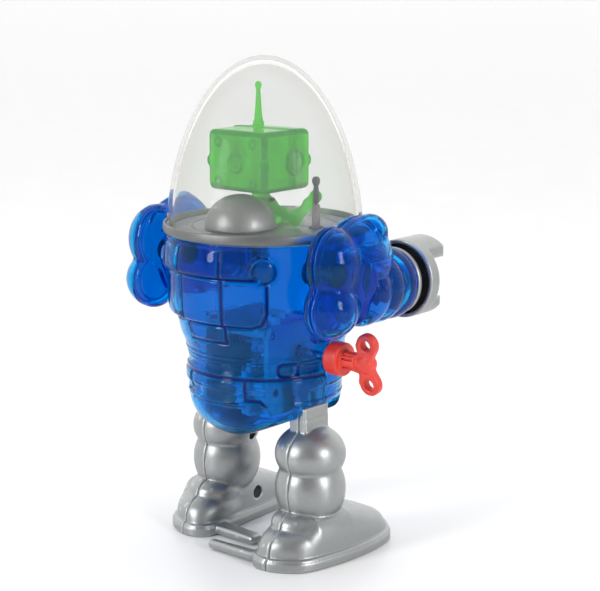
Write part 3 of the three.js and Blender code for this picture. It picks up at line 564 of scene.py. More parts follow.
def solid_plastic(name, dark, light, roughness, grain=0.004):
    look = Look(name)
    flow = look.scaled(look.noise(4, 3), 0, 1)
    look.feed("Base Color", look.mixed(flow, dark, light))
    look.feed("Roughness", look.scaled(look.noise(1.5), roughness - 0.06, roughness + 0.07))
    look.bumps((look.noise(3, 2), 0.02), (look.noise(0.3, 2), grain))
    return look.material


def bright_metal(name, dark, light, roughness, stretch):
    look = Look(name, Metallic=1.0)
    lines = look.scaled(look.noise(0.25, 3, stretch), 0, 1)
    look.feed("Base Color", look.mixed(lines, dark, light))
    look.feed("Roughness", look.scaled(look.noise(1.0), roughness - 0.05, roughness + 0.08))
    look.bumps((lines, 0.002))
    return look.material


def red_plastic():
    return solid_plastic("red_plastic", (0.66, 0.035, 0.022), (0.78, 0.055, 0.032), 0.38, 0.005)


def dark_plastic():
    return solid_plastic("dark_plastic", (0.012, 0.013, 0.016), (0.03, 0.03, 0.034), 0.4)


def brown_plastic():
    return solid_plastic("brown_plastic", (0.10, 0.085, 0.078), (0.15, 0.13, 0.12), 0.4)


def teal_plastic():
    return solid_plastic("teal_plastic", (0.15, 0.52, 0.44), (0.21, 0.62, 0.52), 0.3)


def white_plastic():
    return solid_plastic("white_plastic", (0.62, 0.60, 0.55), (0.72, 0.70, 0.65), 0.35)


def brass():
    return bright_metal("brass", (0.55, 0.36, 0.13), (0.70, 0.50, 0.21), 0.3, (8, 1, 8))


def steel():
    return bright_metal("steel", (0.45, 0.45, 0.46), (0.62, 0.62, 0.63), 0.26, (8, 1, 1))


FINISHES = {}


def finish_for(slot):
    """The material of one of the record's slots, made the first time that it is asked for."""
    makers = (
        clear_plastic, blue_plastic, green_plastic, silver_plastic, red_plastic, dark_plastic,
        brown_plastic, teal_plastic, white_plastic, brass, steel, silver_in_painted_shade,
    )
    if slot not in FINISHES:
        FINISHES[slot] = {maker.__name__: maker for maker in makers}[slot]()
    return FINISHES[slot]


# ---------- torso

def blurred_profile(points, blur):
    """Radius as a function of height through (radius, z) points, with softened corners."""
    heights = np.linspace(points[0][1], points[-1][1], 900)
    radii = np.interp(heights, [z for _, z in points], [radius for radius, _ in points])
    width = max(3, int(blur / (heights[1] - heights[0])))
    kernel = np.hanning(width + 2)[1:-1]
    padded = np.pad(radii, width, mode="edge")
    radii = np.convolve(padded, kernel / kernel.sum(), mode="same")[width:-width]
    return lambda z: np.interp(z, heights, radii)


def step(value, start, end):
    """Rises smoothly from 0 at start to 1 at end."""
    t = np.clip((value - start) / (end - start), 0, 1)
    return t * t * (3 - 2 * t)


TIERS = [
    (51.5, 0), (52.0, 0.45), (54.8, 0.3), (55.9, 0.3), (56.4, 1.2), (57.6, 1.4), (61.5, 0.95), (66.4, 0.3),
    (67.0, 0.3), (67.5, 1.1), (68.4, 1.3), (71, 0.9), (73.0, 0.3), (73.6, 0),
]
LADDER = 15.3
BUCKLE = {"angle": 58.0, "z": 45.4, "half_angle": 7.7, "half_height": 1.5}


def groove_lines():
    """The grooves of the back as lines of (degrees from the back, height), the same on both sides."""
    edge = PANEL["edge"]
    oval = [(math.cos(a), math.sin(a)) for a in np.linspace(0, 2 * math.pi, 25)]
    one_side = [
        [(LADDER, 73), (LADDER, 51.9), (0, 51.9)],
        [(0, 67.1), (edge - 6, 67.1)],
        [(0, 56.1), (LADDER, 56.1), (edge - 9, 56.0), (edge - 3, 56.9), (edge, 59.6), (edge, 65.6)],
        [(26, 43.2), (26, 38.4), (37, 38.2), (45, 35.8), (70, 35.6)],
        [(0, 36.8), (26, 36.6)],
        [(0, 43.4), (90, 43.4)],
        [(
            BUCKLE["angle"] + BUCKLE["half_angle"] * math.copysign(abs(c) ** 0.6, c),
            BUCKLE["z"] + BUCKLE["half_height"] * math.copysign(abs(s) ** 0.6, s),
        ) for c, s in oval],
    ]
    return one_side + [[(-angle, z) for angle, z in line] for line in one_side]


def groove_mask(angle, z, radius, width):
    """How deep inside one of the grooves a point of the wall is, from 0 to 1, which cuts the grooves and
    sets their painted shade; angles are in degrees from the back.
    """
    nearest = np.full(np.broadcast(angle, z).shape, 9.0)
    scale = math.radians(1) * radius
    for line in groove_lines():
        for (a0, z0), (a1, z1) in zip(line, line[1:]):
            du, dv = (a1 - a0) * scale, z1 - z0
            u, v = (angle - a0) * scale, z - z0
            t = np.clip((u * du + v * dv) / (du * du + dv * dv), 0, 1)
            nearest = np.minimum(nearest, np.hypot(u - t * du, v - t * dv))
    return 1 - step(nearest, width * 0.35, width)


def back_relief(angle, z, radius):
    """The height of the raised panel's tiers and of the two bosses, less the moat around each boss."""
    away = np.abs(angle)
    lower_edge = 51.8 + 4.2 * step(away, LADDER + 0.5, LADDER + 3)
    inside = 1 - step(away, PANEL["edge"] - 1.5, PANEL["edge"] + 1.5)
    panel = inside * step(z, lower_edge - 0.3, lower_edge + 0.3)
    relief = panel * np.interp(z, [z for z, _ in TIERS], [rise for _, rise in TIERS])
    scale = math.radians(1) * radius
    from_boss = np.hypot((away - PANEL["boss_angle"]) * scale, z - PANEL["boss_z"])
    boss = 1.35 * np.sqrt(np.clip(1 - (from_boss / PANEL["boss"]) ** 2, 0, 1))
    moat = 0.5 * (1 - step(np.abs(from_boss - PANEL["boss"] - 0.3), 0.1, 0.7))
    return np.maximum(relief, boss) - moat


def belt_relief(z):
    """The height of the belt's ridges and of the fine line above the bowl."""
    ridges = sum(0.28 * (1 - step(np.abs(z - at), 0.12, 0.4)) for at in BELT["ridges"])
    return ridges + 0.22 * (1 - step(np.abs(z - BELT["line"]), 0.1, 0.45))


def pocketed(radius, turn, heights, way, inset):
    """The wall's radius, pushed in flat where the forearm lies beside it."""
    low, high = POCKET["low"] - inset, POCKET["high"] + 2 * inset
    sine = np.maximum(np.abs(np.sin(np.radians(turn))), 1e-3)
    deep = way * np.cos(np.radians(turn)) * radius < POCKET["y"] + inset
    share = step(heights, low - 0.4, low + 0.4) * (1 - step(heights, high - 0.4, high + 0.4)) * deep
    flat = np.minimum(radius, (POCKET["x"] - inset) / sine)
    return radius * (1 - share) + flat * share


def above_keel(x, z, inset):
    """The heights of a skin's points, kept above the floor that rises to both sides."""
    wall = KEEL["wall"] * math.hypot(1, KEEL["rise"]) if inset > 0 else 0
    ridge = np.hypot(x, KEEL["soft"]) - KEEL["soft"]
    return -soft_min(-z, -(KEEL["z"] + KEEL["rise"] * ridge + wall), KEEL["soft"])


def torso_skin(way, turn, inset):
    """Rows of points down the outer skin, or the skin inset from it, and how deep each point lies in the
    grooves, which also sets their painted shade.
    """
    heights = np.linspace(TORSO["top"], TORSO["hip"], 150)[:, None]
    swing = np.linspace(90, 0, 22)[1:, None] * math.pi / 180
    scale = blurred_profile(TORSO_SIDE, 0.9)(heights) + 0 * turn
    relief = belt_relief(heights) + (back_relief(turn, heights, scale) if way > 0 else 0)
    mask = groove_mask(turn, heights, scale, GROOVE["width"]) if way > 0 else 0 * scale
    outside = scale + relief - GROOVE["depth"] * mask
    radius = outside if inset == 0 else scale - inset + 0.6 * relief
    radius = pocketed(radius, turn, heights, way, inset)
    bowl = TORSO["flat"] + (TORSO_SIDE[0][0] - TORSO["flat"] - inset) * np.sin(swing)
    floor = TORSO["hip"] - (TORSO["bowl"] - inset) * np.cos(swing)
    middle = TORSO["flat"] * np.linspace(1, 0, 5)[1:, None]
    bottom = np.full_like(middle, TORSO["hip"] - TORSO["bowl"] + inset)
    radii = np.concatenate([radius, bowl + 0 * turn, middle + 0 * turn])
    z = np.concatenate([heights + 0 * turn, floor + 0 * turn, bottom + 0 * turn])
    x = radii * np.sin(np.radians(turn))
    y = np.maximum(radii * np.cos(np.radians(turn)), GAP / 2)
    smooth = np.zeros((len(bowl) + len(middle), turn.size))
    return np.stack([x, way * y, above_keel(x, z, inset)], axis=-1), np.concatenate([mask, smooth])


def shell_faces(rows, width):
    """The faces of an outer skin, of the inner skin whose points follow it, and of the border between."""
    index = np.arange(rows * width).reshape(rows, width)
    corners = [index[:-1, :-1], index[:-1, 1:], index[1:, 1:], index[1:, :-1]]
    quads = np.stack(corners, axis=-1).reshape(-1, 4)
    shift = rows * width
    border = np.concatenate([index[::-1, 0], index[0, 1:], index[1:, -1]])
    strip = np.stack([border[:-1], border[1:], border[1:] + shift, border[:-1] + shift], axis=-1)
    return np.concatenate([quads, quads[:, ::-1] + shift, strip])


def torso_half(name, way):
    """Half of the torso: way is 1 for the back and -1 for the front."""
    turn = np.linspace(-90, 90, 251 if way > 0 else 121)[None, :]
    outer, mask = torso_skin(way, turn, 0)
    inner, _ = torso_skin(way, turn, TORSO["wall"])
    points = np.concatenate([outer.reshape(-1, 3), inner.reshape(-1, 3)])
    grooves = np.concatenate([mask.ravel(), 0 * mask.ravel()])
    shell = mesh_object(name, points, shell_faces(*mask.shape), grooves=grooves)
    return carved(shell, *torso_openings())


def torso_openings():
    """The tools that cut the leg wells, the key's hole and the shoulder pegs' holes."""
    reach = STEM["half_depth"] + LEG["stride"] + 0.6
    tools = []
    for side in (LEFT, RIGHT):
        low, high = sorted((side * WELL["inner"], side * WELL["outer"]))
        depths = (LEG["neutral"] - reach, LEG["neutral"] + reach)
        well = [(x, y, z) for x in (low, high) for y in depths for z in (WELL["low"], WELL["high"])]
        faces = [(0, 1, 3, 2), (4, 6, 7, 5), (0, 4, 5, 1), (2, 3, 7, 6), (0, 2, 6, 4), (1, 5, 7, 3)]
        tools.append(mesh_object(f"well_{SIDES[side]}", well, faces))
    tools.append(bar_tool("key_hole", HOLES["key"], -60, -10, (0, KEY["z"])))
    peg = (SHOULDER["y"], SHOULDER["z"])
    for side in (RIGHT, LEFT):
        tools.append(bar_tool(f"peg_hole_{SIDES[side]}", HOLES["peg"], *sorted((side * 10, side * 60)), peg))
    return tools


def bar_tool(name, radius, low, high, centre):
    """A round bar along X, as a closed mesh to cut with."""
    segments = 40
    angles = np.linspace(0, 2 * math.pi, segments, endpoint=False)
    rim = [(centre[0] + radius * math.cos(a), centre[1] + radius * math.sin(a)) for a in angles]
    points = [(x, *place) for x in (low, high) for place in rim]
    steps = [(i, (i + 1) % segments) for i in range(segments)]
    sides = [(i, k, segments + k, segments + i) for i, k in steps]
    caps = [tuple(range(segments)), tuple(range(2 * segments - 1, segments - 1, -1))]
    return mesh_object(name, points, sides + caps)


def torso():
    finished(torso_half("back", 1), "torso_back_shell")
    finished(torso_half("front", -1), "torso_front_shell")


# ---------- deck, dome and seat

def dome_radius(z, radius, top):
    t = np.clip((z - DOME["foot"]) / (top - DOME["foot"]), 0, 1)
    return radius * np.sqrt(1 - t ** DOME["power"])


def dome():
    rise = np.sin(np.linspace(0, math.pi / 2, 80))

    def curve(radius, top):
        heights = DOME["base"] + (top - DOME["base"]) * rise
        radii = dome_radius(heights, radius, top)
        radii[-1] = 0
        return list(zip(radii, heights))
    outer = curve(DOME["radius"], DOME["top"])
    inner = curve(DOME["radius"] - DOME["wall"], DOME["top"] - DOME["wall"])
    finished(turned("dome_shell", inner + outer[::-1], 200), "dome")


def deck():
    low, floor, top, radius = DECK["low"], DECK["floor"], DECK["top"], DECK["radius"]
    under = low + GAP
    seat = DOME["base"] - GAP
    profile = rounded([
        (0, under), (21.9, under), (21.9, low), (radius - 0.1, low), (radius + 0.15, low + 0.8),
        (radius, top), (radius - 0.6, top), (radius - 0.6, seat), (20.9, seat), (20.9, floor), (17.6, floor),
        (17.3, floor - 0.35), (16.9, floor - 0.35), (16.6, floor), (0, floor),
    ], 0.25)
    plate = turned("deck_plate", profile, 144)
    hole = turned("post_hole", [(0, 60), (1.9, 60), (1.9, 90), (0, 90)], 32, (STICK["x"], STICK["y"]))
    # The deck gets the darker silver, as painted shade.
    finished(carved(plate, hole), "deck", "silver_in_painted_shade")


def seat():
    base = DECK["floor"] + GAP
    back = ellipsoid((0, SEAT["y"], base), (SEAT["radius"], SEAT["radius"], SEAT["radius"] * 0.93))
    lap = block((-4.2, -FAR, base - 2), (4.2, 3.4, FAR), 0.8)
    body = meet(cut(back, lap, soft=0.8), between(2, base, FAR), soft=0.3)
    # The seat gets the darker silver, as painted shade.
    finished(moulded("seat_back", body, (-9, -1, base), (9, 17.5, 85), 0.25), "seat", "silver_in_painted_shade")


def stick():
    low, mouth, top = DECK["floor"] - 1, STICK["post"], STICK["top"]
    at = (STICK["x"], STICK["y"])
    post = rounded([
        (0, low), (1.6, low), (1.55, low + 1.5), (0.95, low + 1.7), (0.9, mouth), (0.62, mouth),
        (0.62, mouth - 1.6), (0, mouth - 1.6),
    ], 0.12)
    finished(turned("post", post, 40, at), "stick_post")
    grip = rounded([
        (0, mouth - 1.2), (0.35, mouth - 1.2), (0.35, mouth + GAP), (0.72, mouth + GAP), (0.68, top - 2.9),
        (0.5, top - 2.3), (0.62, top - 2.0), (0.95, top - 1.3), (0.95, top - 0.6), (0.55, top), (0, top),
    ], 0.3)
    finished(turned("lever", grip, 40, at), "stick_lever")


# ---------- pilot

def pilot_body():
    base = DECK["floor"] + GAP
    parts = [
        ellipsoid((0, -0.6, 79.2), (3.45, 2.8, 3.6)),
        ellipsoid((0, -2.2, base + 1.6), (3.6, 3.9, 2.4)),
        capsule((0, 0.4, 81), (0, HEAD["y"], 84.2), 2.2, 1.9),
    ]
    for side in (LEFT, RIGHT):
        parts.append(capsule((side * 1.8, -3, 77.4), (side * 2.4, -9, 77.6), 1.35, 1.2))
        parts.append(capsule((side * 2.4, -9, 77.9), (side * 2.4, -9.8, base), 1.2, 1.1))
    body = meet(union(*parts, soft=0.7), between(2, base, 84.2), soft=0.3)
    hole = rod(0, (0.2, 82.1), 0.75, -4, 4)
    trunk = moulded("pilot_trunk", cut(body, hole), (-5, -12, base), (5, 5, 84.5), 0.16)
    finished(trunk, "pilot_body")


def pilot_arm(side, joints):
    top, elbow, wrist, hand = joints
    limb = union(
        ball(top, 1.3), capsule(top, elbow, 1.15, 0.95),
        ball(elbow, 1.15), capsule(elbow, wrist, 0.95, 1.15), soft=0.5,
    )
    fist = union(ball(hand, 1.5), capsule(wrist, hand, 1.1), soft=0.4)
    cuff = capsule(wrist, [w + (h - w) * 0.15 for w, h in zip(wrist, hand)], 1.3)
    lever = rod(2, (side * abs(STICK["x"]), STICK["y"]), 1.0, 60, 100)
    body = cut(union(limb, fist, cuff, soft=0.25), lever, soft=0.15)
    low = [min(p[k] for p in joints) - 2 for k in range(3)]
    high = [max(p[k] for p in joints) + 2 for k in range(3)]
    finished(moulded(f"{SIDES[side]}_limb", body, low, high, 0.13), f"{SIDES[side]}_pilot_arm")


def rivets(middle):
    """The four rivets on the back of the head, as (x, z)."""
    x, z = HEAD_MARKS["rivet_x"], HEAD_MARKS["rivet_z"]
    return [(sx * x, middle + sz * z) for sx in (-1, 1) for sz in (-1, 1)]


def head_field():
    """The whole head as one hollow box with its ear dials, band, ring and rivets."""
    w, d = HEAD["width"] / 2, HEAD["depth"] / 2
    low, high = HEAD["low"], HEAD["low"] + HEAD["height"]
    middle = low + HEAD["height"] * HEAD_MARKS["middle"]
    y = HEAD["y"]
    ear = HEAD["seam"]
    box = block((-w, y - d, low), (w, y + d, high), 1.5)
    band = block((-w - 0.3, y - d - 0.3, middle - 1.5), (w + 0.3, y + d + 0.3, middle + 1.5), 1.2)
    extras = [band]
    for side in (LEFT, RIGHT):
        face = side * w
        reach = sorted((face - side * 0.6, face + side * 0.55))
        dial = union(
            rod(0, (ear, middle), HEAD_MARKS["dial"], *reach, 0.4),
            ring(0, (ear, middle), face + side * 0.55, 2.7, 0.3),
            ring(0, (ear, middle), face + side * 0.55, 1.6, 0.22),
            capsule((face + side * 0.6, ear, middle - 1.7), (face + side * 0.6, ear, middle + 1.7), 0.34),
            soft=0.15,
        )
        extras.append(dial)
    extras.append(ring(1, (0, middle), y + d + 0.15, 1.9, 0.36))
    extras += [ring(1, place, y + d, 0.75, 0.2) for place in rivets(middle)]
    for edge in (-1, 1):
        rib = ear + edge * HEAD_MARKS["seam_rib"]
        extras.append(block((-w - 0.12, rib - 0.3, low + 0.6), (w + 0.12, rib + 0.3, high + 0.12), 0.25))
    shell = union(hollow(box, 1.0), cut(union(*extras, soft=0.2), grown(box, -0.8)), soft=0.2)
    socket = rod(2, (0, y), 2.3, low - 2, low + 2)
    mount = rod(2, (0, y + 0.2), 1.0, high - 2, high + 2)
    return cut(shell, socket, mount)


def head_shade_lines():
    """The lines of painted shade on the head: dark outlines along its box edges, the seam, the ring, the
    rivets and the ear dials.
    """
    w, d = HEAD["width"] / 2, HEAD["depth"] / 2
    low, high = HEAD["low"], HEAD["low"] + HEAD["height"]
    middle = low + HEAD["height"] * HEAD_MARKS["middle"]
    ear, dial = HEAD["seam"], HEAD_MARKS["dial"]
    rings = [ring(1, (0, middle), HEAD["y"] + d, 2.0, 0.15)]
    rings += [ring(1, place, HEAD["y"] + d, 0.9, 0) for place in rivets(middle)]
    for sx in (-1, 1):
        rings += [ring(0, (ear, middle), sx * (w + 0.5), radius, 0.1) for radius in (dial, dial - 1)]
        rings += [capsule((sx * w, ear, middle - 1.8), (sx * w, ear, middle + 1.8), 0.45)]

    def field(x, y, z):
        depths = [w - np.abs(x), d - np.abs(y - HEAD["y"]), np.minimum(z - low, high - z)]
        nearest, second, _ = np.sort(np.stack(depths), axis=0)
        edges = np.hypot(nearest, second) - 0.75
        seams = np.abs(np.abs(y - ear) - HEAD_MARKS["seam_rib"]) + 0.15
        return union(*rings)(x, y, z).clip(max=np.minimum(edges, seams))
    return field


def head():
    field = head_field()
    ear = HEAD["seam"]
    low = (-HEAD["width"] / 2 - 1, HEAD["y"] - HEAD["depth"] / 2 - 1, HEAD["low"])
    high = (-low[0], HEAD["y"] + HEAD["depth"] / 2 + 1, HEAD["low"] + HEAD["height"] + 0.3)
    back = meet(field, between(1, ear + GAP / 2, FAR), soft=0.15)
    front = meet(field, between(1, -FAR, ear - GAP / 2), soft=0.15)
    rear = moulded("head_rear", back, (low[0], ear, low[2]), high, 0.16)
    face = moulded("head_face", front, low, (high[0], ear, high[2]), 0.16)
    finished(shade_lined(rear, head_shade_lines(), 0.6), "head_back")
    finished(shade_lined(face, head_shade_lines(), 0.6), "head_front")
    top = HEAD["low"] + HEAD["height"]
    tip = HEAD["tip"]
    mast = rounded([
        (0, top - 0.9), (0.7, top - 0.9), (0.7, top + GAP), (1.35, top + GAP), (1.25, top + 1.7),
        (0.95, top + 2.0), (0.45, tip - 1.7), (0.75, tip - 1.25), (0.8, tip - 0.7), (0.5, tip), (0, tip),
    ], 0.3)
    finished(turned("mast", mast, 40, (0, HEAD["y"] + 0.2)), "antenna")


def pilot():
    pilot_body()
    reach = abs(STICK["x"])
    hand = (-reach + 0.9, STICK["y"] - 0.9, 83.1)
    pilot_arm(RIGHT, [(-3.9, 1.4, 80.6), (-9, -0.2, 77.6), (-reach + 1.4, -2.4, 81.6), hand])
    pilot_arm(LEFT, [(3.9, 1.4, 80.6), (8.6, -0.6, 77.6), (7.4, -4.6, 77.4), (6.6, -6.4, 77.8)])
    head()


# ---------- arms

def shoulder(side):
    inner, seam, wall, peg = (SHOULDER[key] for key in ("inner", "seam", "wall", "peg"))
    lobes = union(*[ellipsoid(at, radii) for at, radii in LOBES], soft=0.9)
    half = meet(lobes, between(0, inner, FAR), soft=2.4)

    def sleeve(grow):
        return rod(1, (ARM["x"], ARM["z"]), ARM["crest"] + GAP + grow, -60, ARM["start"] + GAP + grow)
    outside = cut(half, sleeve(0), soft=0.4)
    inside = cut(grown(half, -wall), sleeve(wall), soft=0.4)
    socket = rod(0, (SHOULDER["y"], SHOULDER["z"]), peg + GAP, 0, inner + wall + 1)
    shell = cut(outside, inside, socket, soft=0.1)
    rim = meet(outside, cut(between(0, seam - 0.8, seam + 0.8), grown(half, -wall - 0.5)))
    shell = union(shell, rim)
    low, high = (inner, -12, 53), (35, 18, 82)
    outer = meet(shell, between(0, seam + GAP / 2, FAR), soft=0.2)
    flat = meet(shell, between(0, -FAR, seam - GAP / 2), soft=0.2)
    name = SIDES[side]
    bubble = moulded(f"{name}_bubble", outer, (seam, *low[1:]), high, 0.27, side)
    finished(bubble, f"{name}_shoulder_outer_shell")
    rear = moulded(f"{name}_rear", flat, low, (seam, *high[1:]), 0.27, side)
    finished(rear, f"{name}_shoulder_inner_shell")


def forearm(side):
    crest, valley, start, end, ribs = (ARM[key] for key in ("crest", "valley", "start", "end", "ribs"))
    wall = 1.1
    length = (start - end) / ribs
    t = np.linspace(0, 1, 19)
    profile = [(0, -start)]
    for i in range(ribs):
        for share in t[(0 if i == 0 else 1):]:
            swell = (crest - valley) * math.sin(math.pi * share) ** 0.7
            profile.append((valley + swell, -start + length * (i + share)))
    profile += [(3.2, -end), (3.2, -end - 1.2), (valley - wall - 0.3, -end - 1.2)]
    profile += [(valley - wall, -end - 2), (valley - wall, -start + wall), (0, -start + wall)]
    piece = turned(f"{SIDES[side]}_ribs", profile, 112, forward_from=(ARM["x"], ARM["z"]), side=side)
    finished(piece, f"{SIDES[side]}_forearm")


def wrist_disc(side):
    back = -ARM["end"] + GAP
    front = -CLAW["front"] - 1.2
    valley = ARM["valley"]
    profile = rounded([
        (0, back - 0.1), (valley - 0.2, back), (valley + 0.1, back + 0.4), (valley - 0.1, back + 1.4),
        (6.9, back + 1.6), (6.5, back + 1.3), (3.4, back + 1.4), (3.4, front), (0, front),
    ], 0.25)
    piece = turned(f"{SIDES[side]}_disc", profile, 112, forward_from=(ARM["x"], ARM["z"]), side=side)
    finished(piece, f"{SIDES[side]}_wrist_disc")


def claw(side):
    radius, back, front, reach = (CLAW[key] for key in ("radius", "back", "front", "reach"))
    centre = x, z = (ARM["x"], ARM["z"])
    cup = cut(
        rod(1, centre, radius, front, back, 0.5),
        rod(1, centre, radius - 1.0, back - 2, back + 5, 0.3),
        rod(1, centre, 3.7, -60, 0),
        soft=0.2,
    )
    barrel = rod(1, centre, radius, front - reach, front + 0.5, 0.6)
    shell = cut(barrel, rod(1, centre, 5.8, -60, 0), soft=0.3)
    above = block((x - 5.6, front - reach, z + 4.6), (x + 5.6, front + 1, z + 20))
    below = block((x - 6.6, front - reach * 0.6, z - 20), (x + 6.6, front + 1, z - 4.2))
    jaws = [meet(shell, part, soft=0.4) for part in (above, below)]
    body = union(cup, *jaws, soft=0.3)
    low, high = (x - 9.5, front - reach, z - 9.5), (x + 9.5, back, z + 9.5)
    piece = finished(moulded(f"{SIDES[side]}_grab", body, low, high, 0.2, side), f"{SIDES[side]}_claw")
    # Faces inside the cup, around the wrist disc, get the dark plastic as painted shade in the recess.
    piece.data.materials.append(finish_for("dark_plastic"))
    middle = Vector((side * x, 0, z)) * MM + AXIS
    for face in piece.data.polygons:
        away = math.hypot(face.center.x - middle.x, face.center.z - middle.z)
        if away < (radius - 0.95) * MM and face.center.y - AXIS.y > (front + 0.6) * MM:
            face.material_index = 1


def arms():
    for side in (RIGHT, LEFT):
        shoulder(side)
        forearm(side)
        wrist_disc(side)
        claw(side)


# ---------- winding key

def winding_key():
    """Drawn about the key's own axis and then turned a little, as it stopped."""
    centre = KEY["tip"] - KEY["lobe"] - 0.6
    lobe, spread = KEY["lobe"], KEY["spread"]
    tilt = math.radians(KEY["tilt"])

    def flat(x, z):
        lobes = [np.hypot(x - centre, z - s * spread) - lobe for s in (-1, 1)]
        bridge = np.maximum(np.abs(x - centre + 0.6) - 1.7, np.abs(z) - spread + 0.6)
        neck = np.maximum(np.abs(x - 25.5) - 3.6, np.abs(z) - 1.5)
        whole = soft_min(soft_min(lobes[0], lobes[1], 2.2), bridge, 1.8)
        whole = soft_min(whole, neck, 2.0)
        holes = [1.15 - np.hypot(x - centre, z - s * spread) for s in (-1, 1)]
        return np.maximum(np.maximum(whole, holes[0]), holes[1])

    def field(x, y, z):
        v = y * math.cos(tilt) + z * math.sin(tilt)
        w = z * math.cos(tilt) - y * math.sin(tilt)
        blade = -soft_min(-flat(x, w), -(np.abs(v) - KEY["half_thick"]), 0.7)
        collar = rod(0, (0, 0), 3.9, KEY["hub"], KEY["hub"] + 3.8, 0.6)
        barrel = rod(0, (0, 0), 2.2, KEY["hub"] + 3, 27.7, 0.4)
        hub = union(collar, barrel, soft=0.6)
        disc = -soft_min(-(np.hypot(x - centre + 0.7, w) - 1.9), -(np.abs(v) - 1.55), 0.5)
        slots = [block((24.3, s * 1.25 - 0.25, -5), (27.3, s * 1.25 + 0.25, 5)) for s in (-1, 1)]
        side_slots = [block((24.3, -5, s * 1.0 - 0.22), (27.3, 5, s * 1.0 + 0.22)) for s in (-1, 1)]
        whole = soft_min(soft_min(blade, hub(x, v, w), 0.8), disc, 0.3)
        core = np.maximum(np.hypot(v, w) - 1.6, np.abs(x - 26) - 3)
        trimmed = cut(lambda *p: whole, *slots, *side_slots, soft=0.1)(x, v, w)
        whole = np.minimum(trimmed, core)
        return np.maximum(whole, -np.maximum(np.hypot(v, w) - 1.35, x - 25.2))
    shifted = moved(field, dz=KEY["z"])
    piece = moulded("key_shape", shifted, (20, -4.5, 39), (34.3, 4.5, 56), 0.14, RIGHT)
    finished(piece, "winding_key")


# ---------- legs

def leg_field(side):
    """One leg about its own centre line, drawn for the left side: +x is outwards."""
    edge = outline(closed_curve(FOOT_OUTLINE))
    heights = [z for _, z in FOOT_TOP]
    places = [y for y, _ in FOOT_TOP]
    flange = meet(edge, between(2, 0, 2.2), soft=0.35)
    upper_flange = meet(grown(edge, -0.35), between(2, 0, 2.9), soft=0.5)

    def instep(x, y, z):
        crown = np.interp(y, places, heights) - 0.045 * (x - 1.5) ** 2 * 0.35
        return -soft_min(-(edge(x, y, z) + 1.15), -(z - crown) * 0.85, 3.6)
    heel_low = ellipsoid((0, 6.2, 4.6), (6.6, 8.2, 4.6))
    heel_high = ellipsoid((0, 4.4, 8.8), (6.2, 6.4, 3.4))
    foot = union(flange, upper_flange, meet(instep, between(2, 1, FAR)), soft=0.25)
    foot = union(foot, meet(heel_low, between(2, 1, FAR)), soft=1.0)
    foot = union(foot, heel_high, soft=0.8)
    rear, tip, width = (14.6, -19.6, 2.4) if side == RIGHT else (11.8, -18.6, 4.0)

    def bar(x, y, z):
        share = np.clip((x + 4) / (tip + 4), 0, 1)
        depth = np.abs(y - rear + width / 2 + 0.3 * (1 - share)) - width / 2 - 0.3 * (1 - share)
        height = np.abs(z - 1.45 + 0.15 * share) - 1.15 + 0.15 * share
        length = np.maximum(tip - x, x + 4)
        return -soft_min(soft_min(-depth, -height, 0.9), -length, 0.9)
    swells = [ellipsoid((0, 0, z), (LEG["radius"], LEG["radius"], height)) for z, height in SWELLS]
    balls = union(*swells, soft=0.6)
    depth = STEM["half_depth"]
    stem = block((STEM["inside"], -depth, STEM["low"]), (STEM["outside"], depth, STEM["high"]), 0.5)
    plate = union(
        block((-2.2, -3.4, 30), (-0.8, 3.4, 40), 0.3),
        block((-2.2, -4.2, 38.6), (-0.8, 4.2, 45.6), 0.3),
    )
    whole = union(foot, bar, soft=0.3)
    whole = union(whole, balls, soft=0.45)
    neck = block((NECK["inside"], -depth, STEM["high"] - 1), (NECK["outside"], depth, NECK["high"]), 0.4)
    whole = union(whole, stem, neck, plate, soft=0.4)
    pin = -side * (LEG["throw"] - LEG["stride"])
    guide_slot = block((-5, -3.5, 41.65), (0, 3.5, 43.55))
    crank_slot = block((-5, pin - 1.1, 33.75), (-0.4, pin + 1.1, 38.65))
    recesses = [rod(0, place, SCREWS["head"], -14, -1.6) for place in SCREWS["places"]]
    bores = [rod(0, place, SCREWS["shaft"], -14, 3.2) for place in SCREWS["places"]]
    return cut(whole, *recesses, *bores, guide_slot, crank_slot, soft=0.15)


def leg(side):
    name = SIDES[side]
    stance = LEG["neutral"] + (LEG["stride"] if side == RIGHT else -LEG["stride"])
    field = moved(leg_field(side), LEG["x"], stance)
    x = LEG["x"]
    low, high = (-5, stance - 26, 0), (x + 12, stance + 17, 46)
    seam = 0.05
    outer = meet(field, between(0, x + seam, FAR), soft=0.12)
    inner = meet(field, between(0, -FAR, x - seam), soft=0.12)
    pitch = 0.3
    finished(moulded(f"{name}_outer", outer, (x, *low[1:]), high, pitch, side), f"{name}_leg_outer_half")
    finished(moulded(f"{name}_inner", inner, low, (x, *high[1:]), pitch, side), f"{name}_leg_inner_half")


# ---------- the CAD nodes that stay

def carried_over():
    """The clockwork, pins and screws keep their CAD shapes, with eased edges and real finishes."""
    for node, piece in frame["nodes"].items():
        if piece.hide_render:
            continue
        piece.data.materials.clear()
        piece.data.materials.append(finish_for(SLOT_OF[node]))
        eased(piece, 0.07)


# ---------- studio

def floor():
    size = 14.0
    mesh = bpy.data.meshes.new("floor")
    corners = [(-size, -size, 0), (size, -size, 0), (size, size, 0), (-size, size, 0)]
    mesh.from_pydata(corners, [], [(0, 1, 2, 3)])
    piece = added("floor", mesh)
    piece.location.z = -0.02 * MM
    look = Look("floor_paper", Specular_IOR_Level=0.3)
    look.feed("Base Color", look.mixed(look.noise(40, 2), (0.90, 0.90, 0.90), (0.92, 0.92, 0.92)))
    look.feed("Roughness", look.scaled(look.noise(20), 0.3, 0.4))
    mesh.materials.append(look.material)


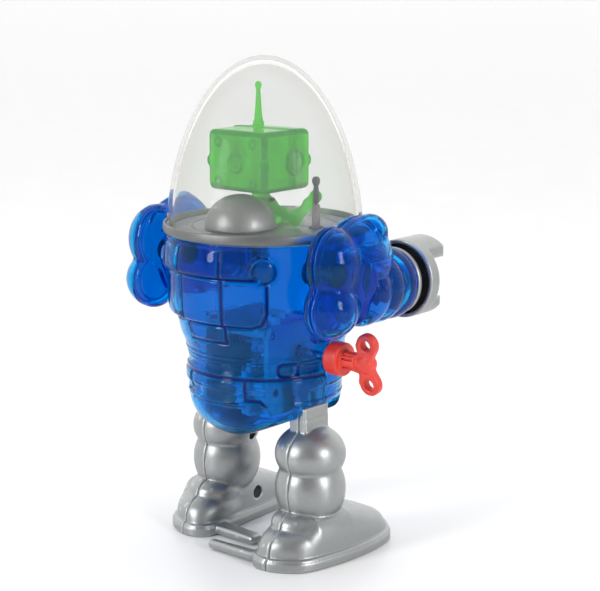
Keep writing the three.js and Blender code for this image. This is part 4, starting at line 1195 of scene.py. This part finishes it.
def aimed(thing, place, forward):
    """Puts a lamp or a camera in its place, facing forward."""
    thing.location = place
    thing.rotation_mode = "QUATERNION"
    thing.rotation_quaternion = forward.to_track_quat("-Z", "Y")
    return thing


def soft_light(name, place, size, power):
    """A rectangular light that faces the robot, placed in metres from the foot of the torso's axis."""
    data = bpy.data.lights.new(name, "AREA")
    data.shape = "RECTANGLE"
    data.size, data.size_y = size
    data.energy = power
    place = AXIS + Vector(place)
    aimed(added(name, data), place, AXIS + Vector((0, 0, 0.06)) - place)


def world(backdrop, towards, bright, dim):
    """A room that is bright on the side of the backdrop and dim on the other side."""
    scene = bpy.context.scene
    scene.world = bpy.data.worlds.new("studio")
    scene.world.use_nodes = True
    tree = scene.world.node_tree
    place = tree.nodes.new("ShaderNodeTexCoord")
    facing = tree.nodes.new("ShaderNodeVectorMath")
    facing.operation = "DOT_PRODUCT"
    facing.inputs[1].default_value = towards
    tree.links.new(place.outputs["Generated"], facing.inputs[0])
    level = mapped(tree, facing.outputs["Value"], dim, bright, -0.5, 0.6)
    level.interpolation_type = "SMOOTHSTEP"
    background = tree.nodes["Background"]
    background.inputs["Color"].default_value = (*backdrop, 1)
    tree.links.new(level.outputs["Result"], background.inputs["Strength"])


def studio():
    floor()
    world((1.0, 1.0, 1.0), (0.64, -0.77, 0.0), 1.45, 0.30)
    soft_light("left_softbox", (0.20, 0.62, 0.30), (0.16, 0.34), 2.6)
    soft_light("right_softbox", (-0.66, 0.02, 0.26), (0.16, 0.34), 2.2)
    soft_light("overhead", (-0.05, 0.10, 0.75), (0.7, 0.7), 0.3)
    bpy.context.scene.view_settings.view_transform = "Standard"


def camera():
    data = bpy.data.cameras.new("camera")
    data.lens = CAMERA["lens"]
    data.sensor_width = 36
    data.clip_start, data.clip_end = 0.01, 60
    place = AXIS + Vector(CAMERA["place"]) * MM
    bpy.context.scene.camera = aimed(added("camera", data), place, Vector(CAMERA["forward"]))


# ---------- the robot

torso()
deck()
dome()
seat()
stick()
pilot()
arms()
winding_key()
leg(RIGHT)
leg(LEFT)
carried_over()
studio()
camera()
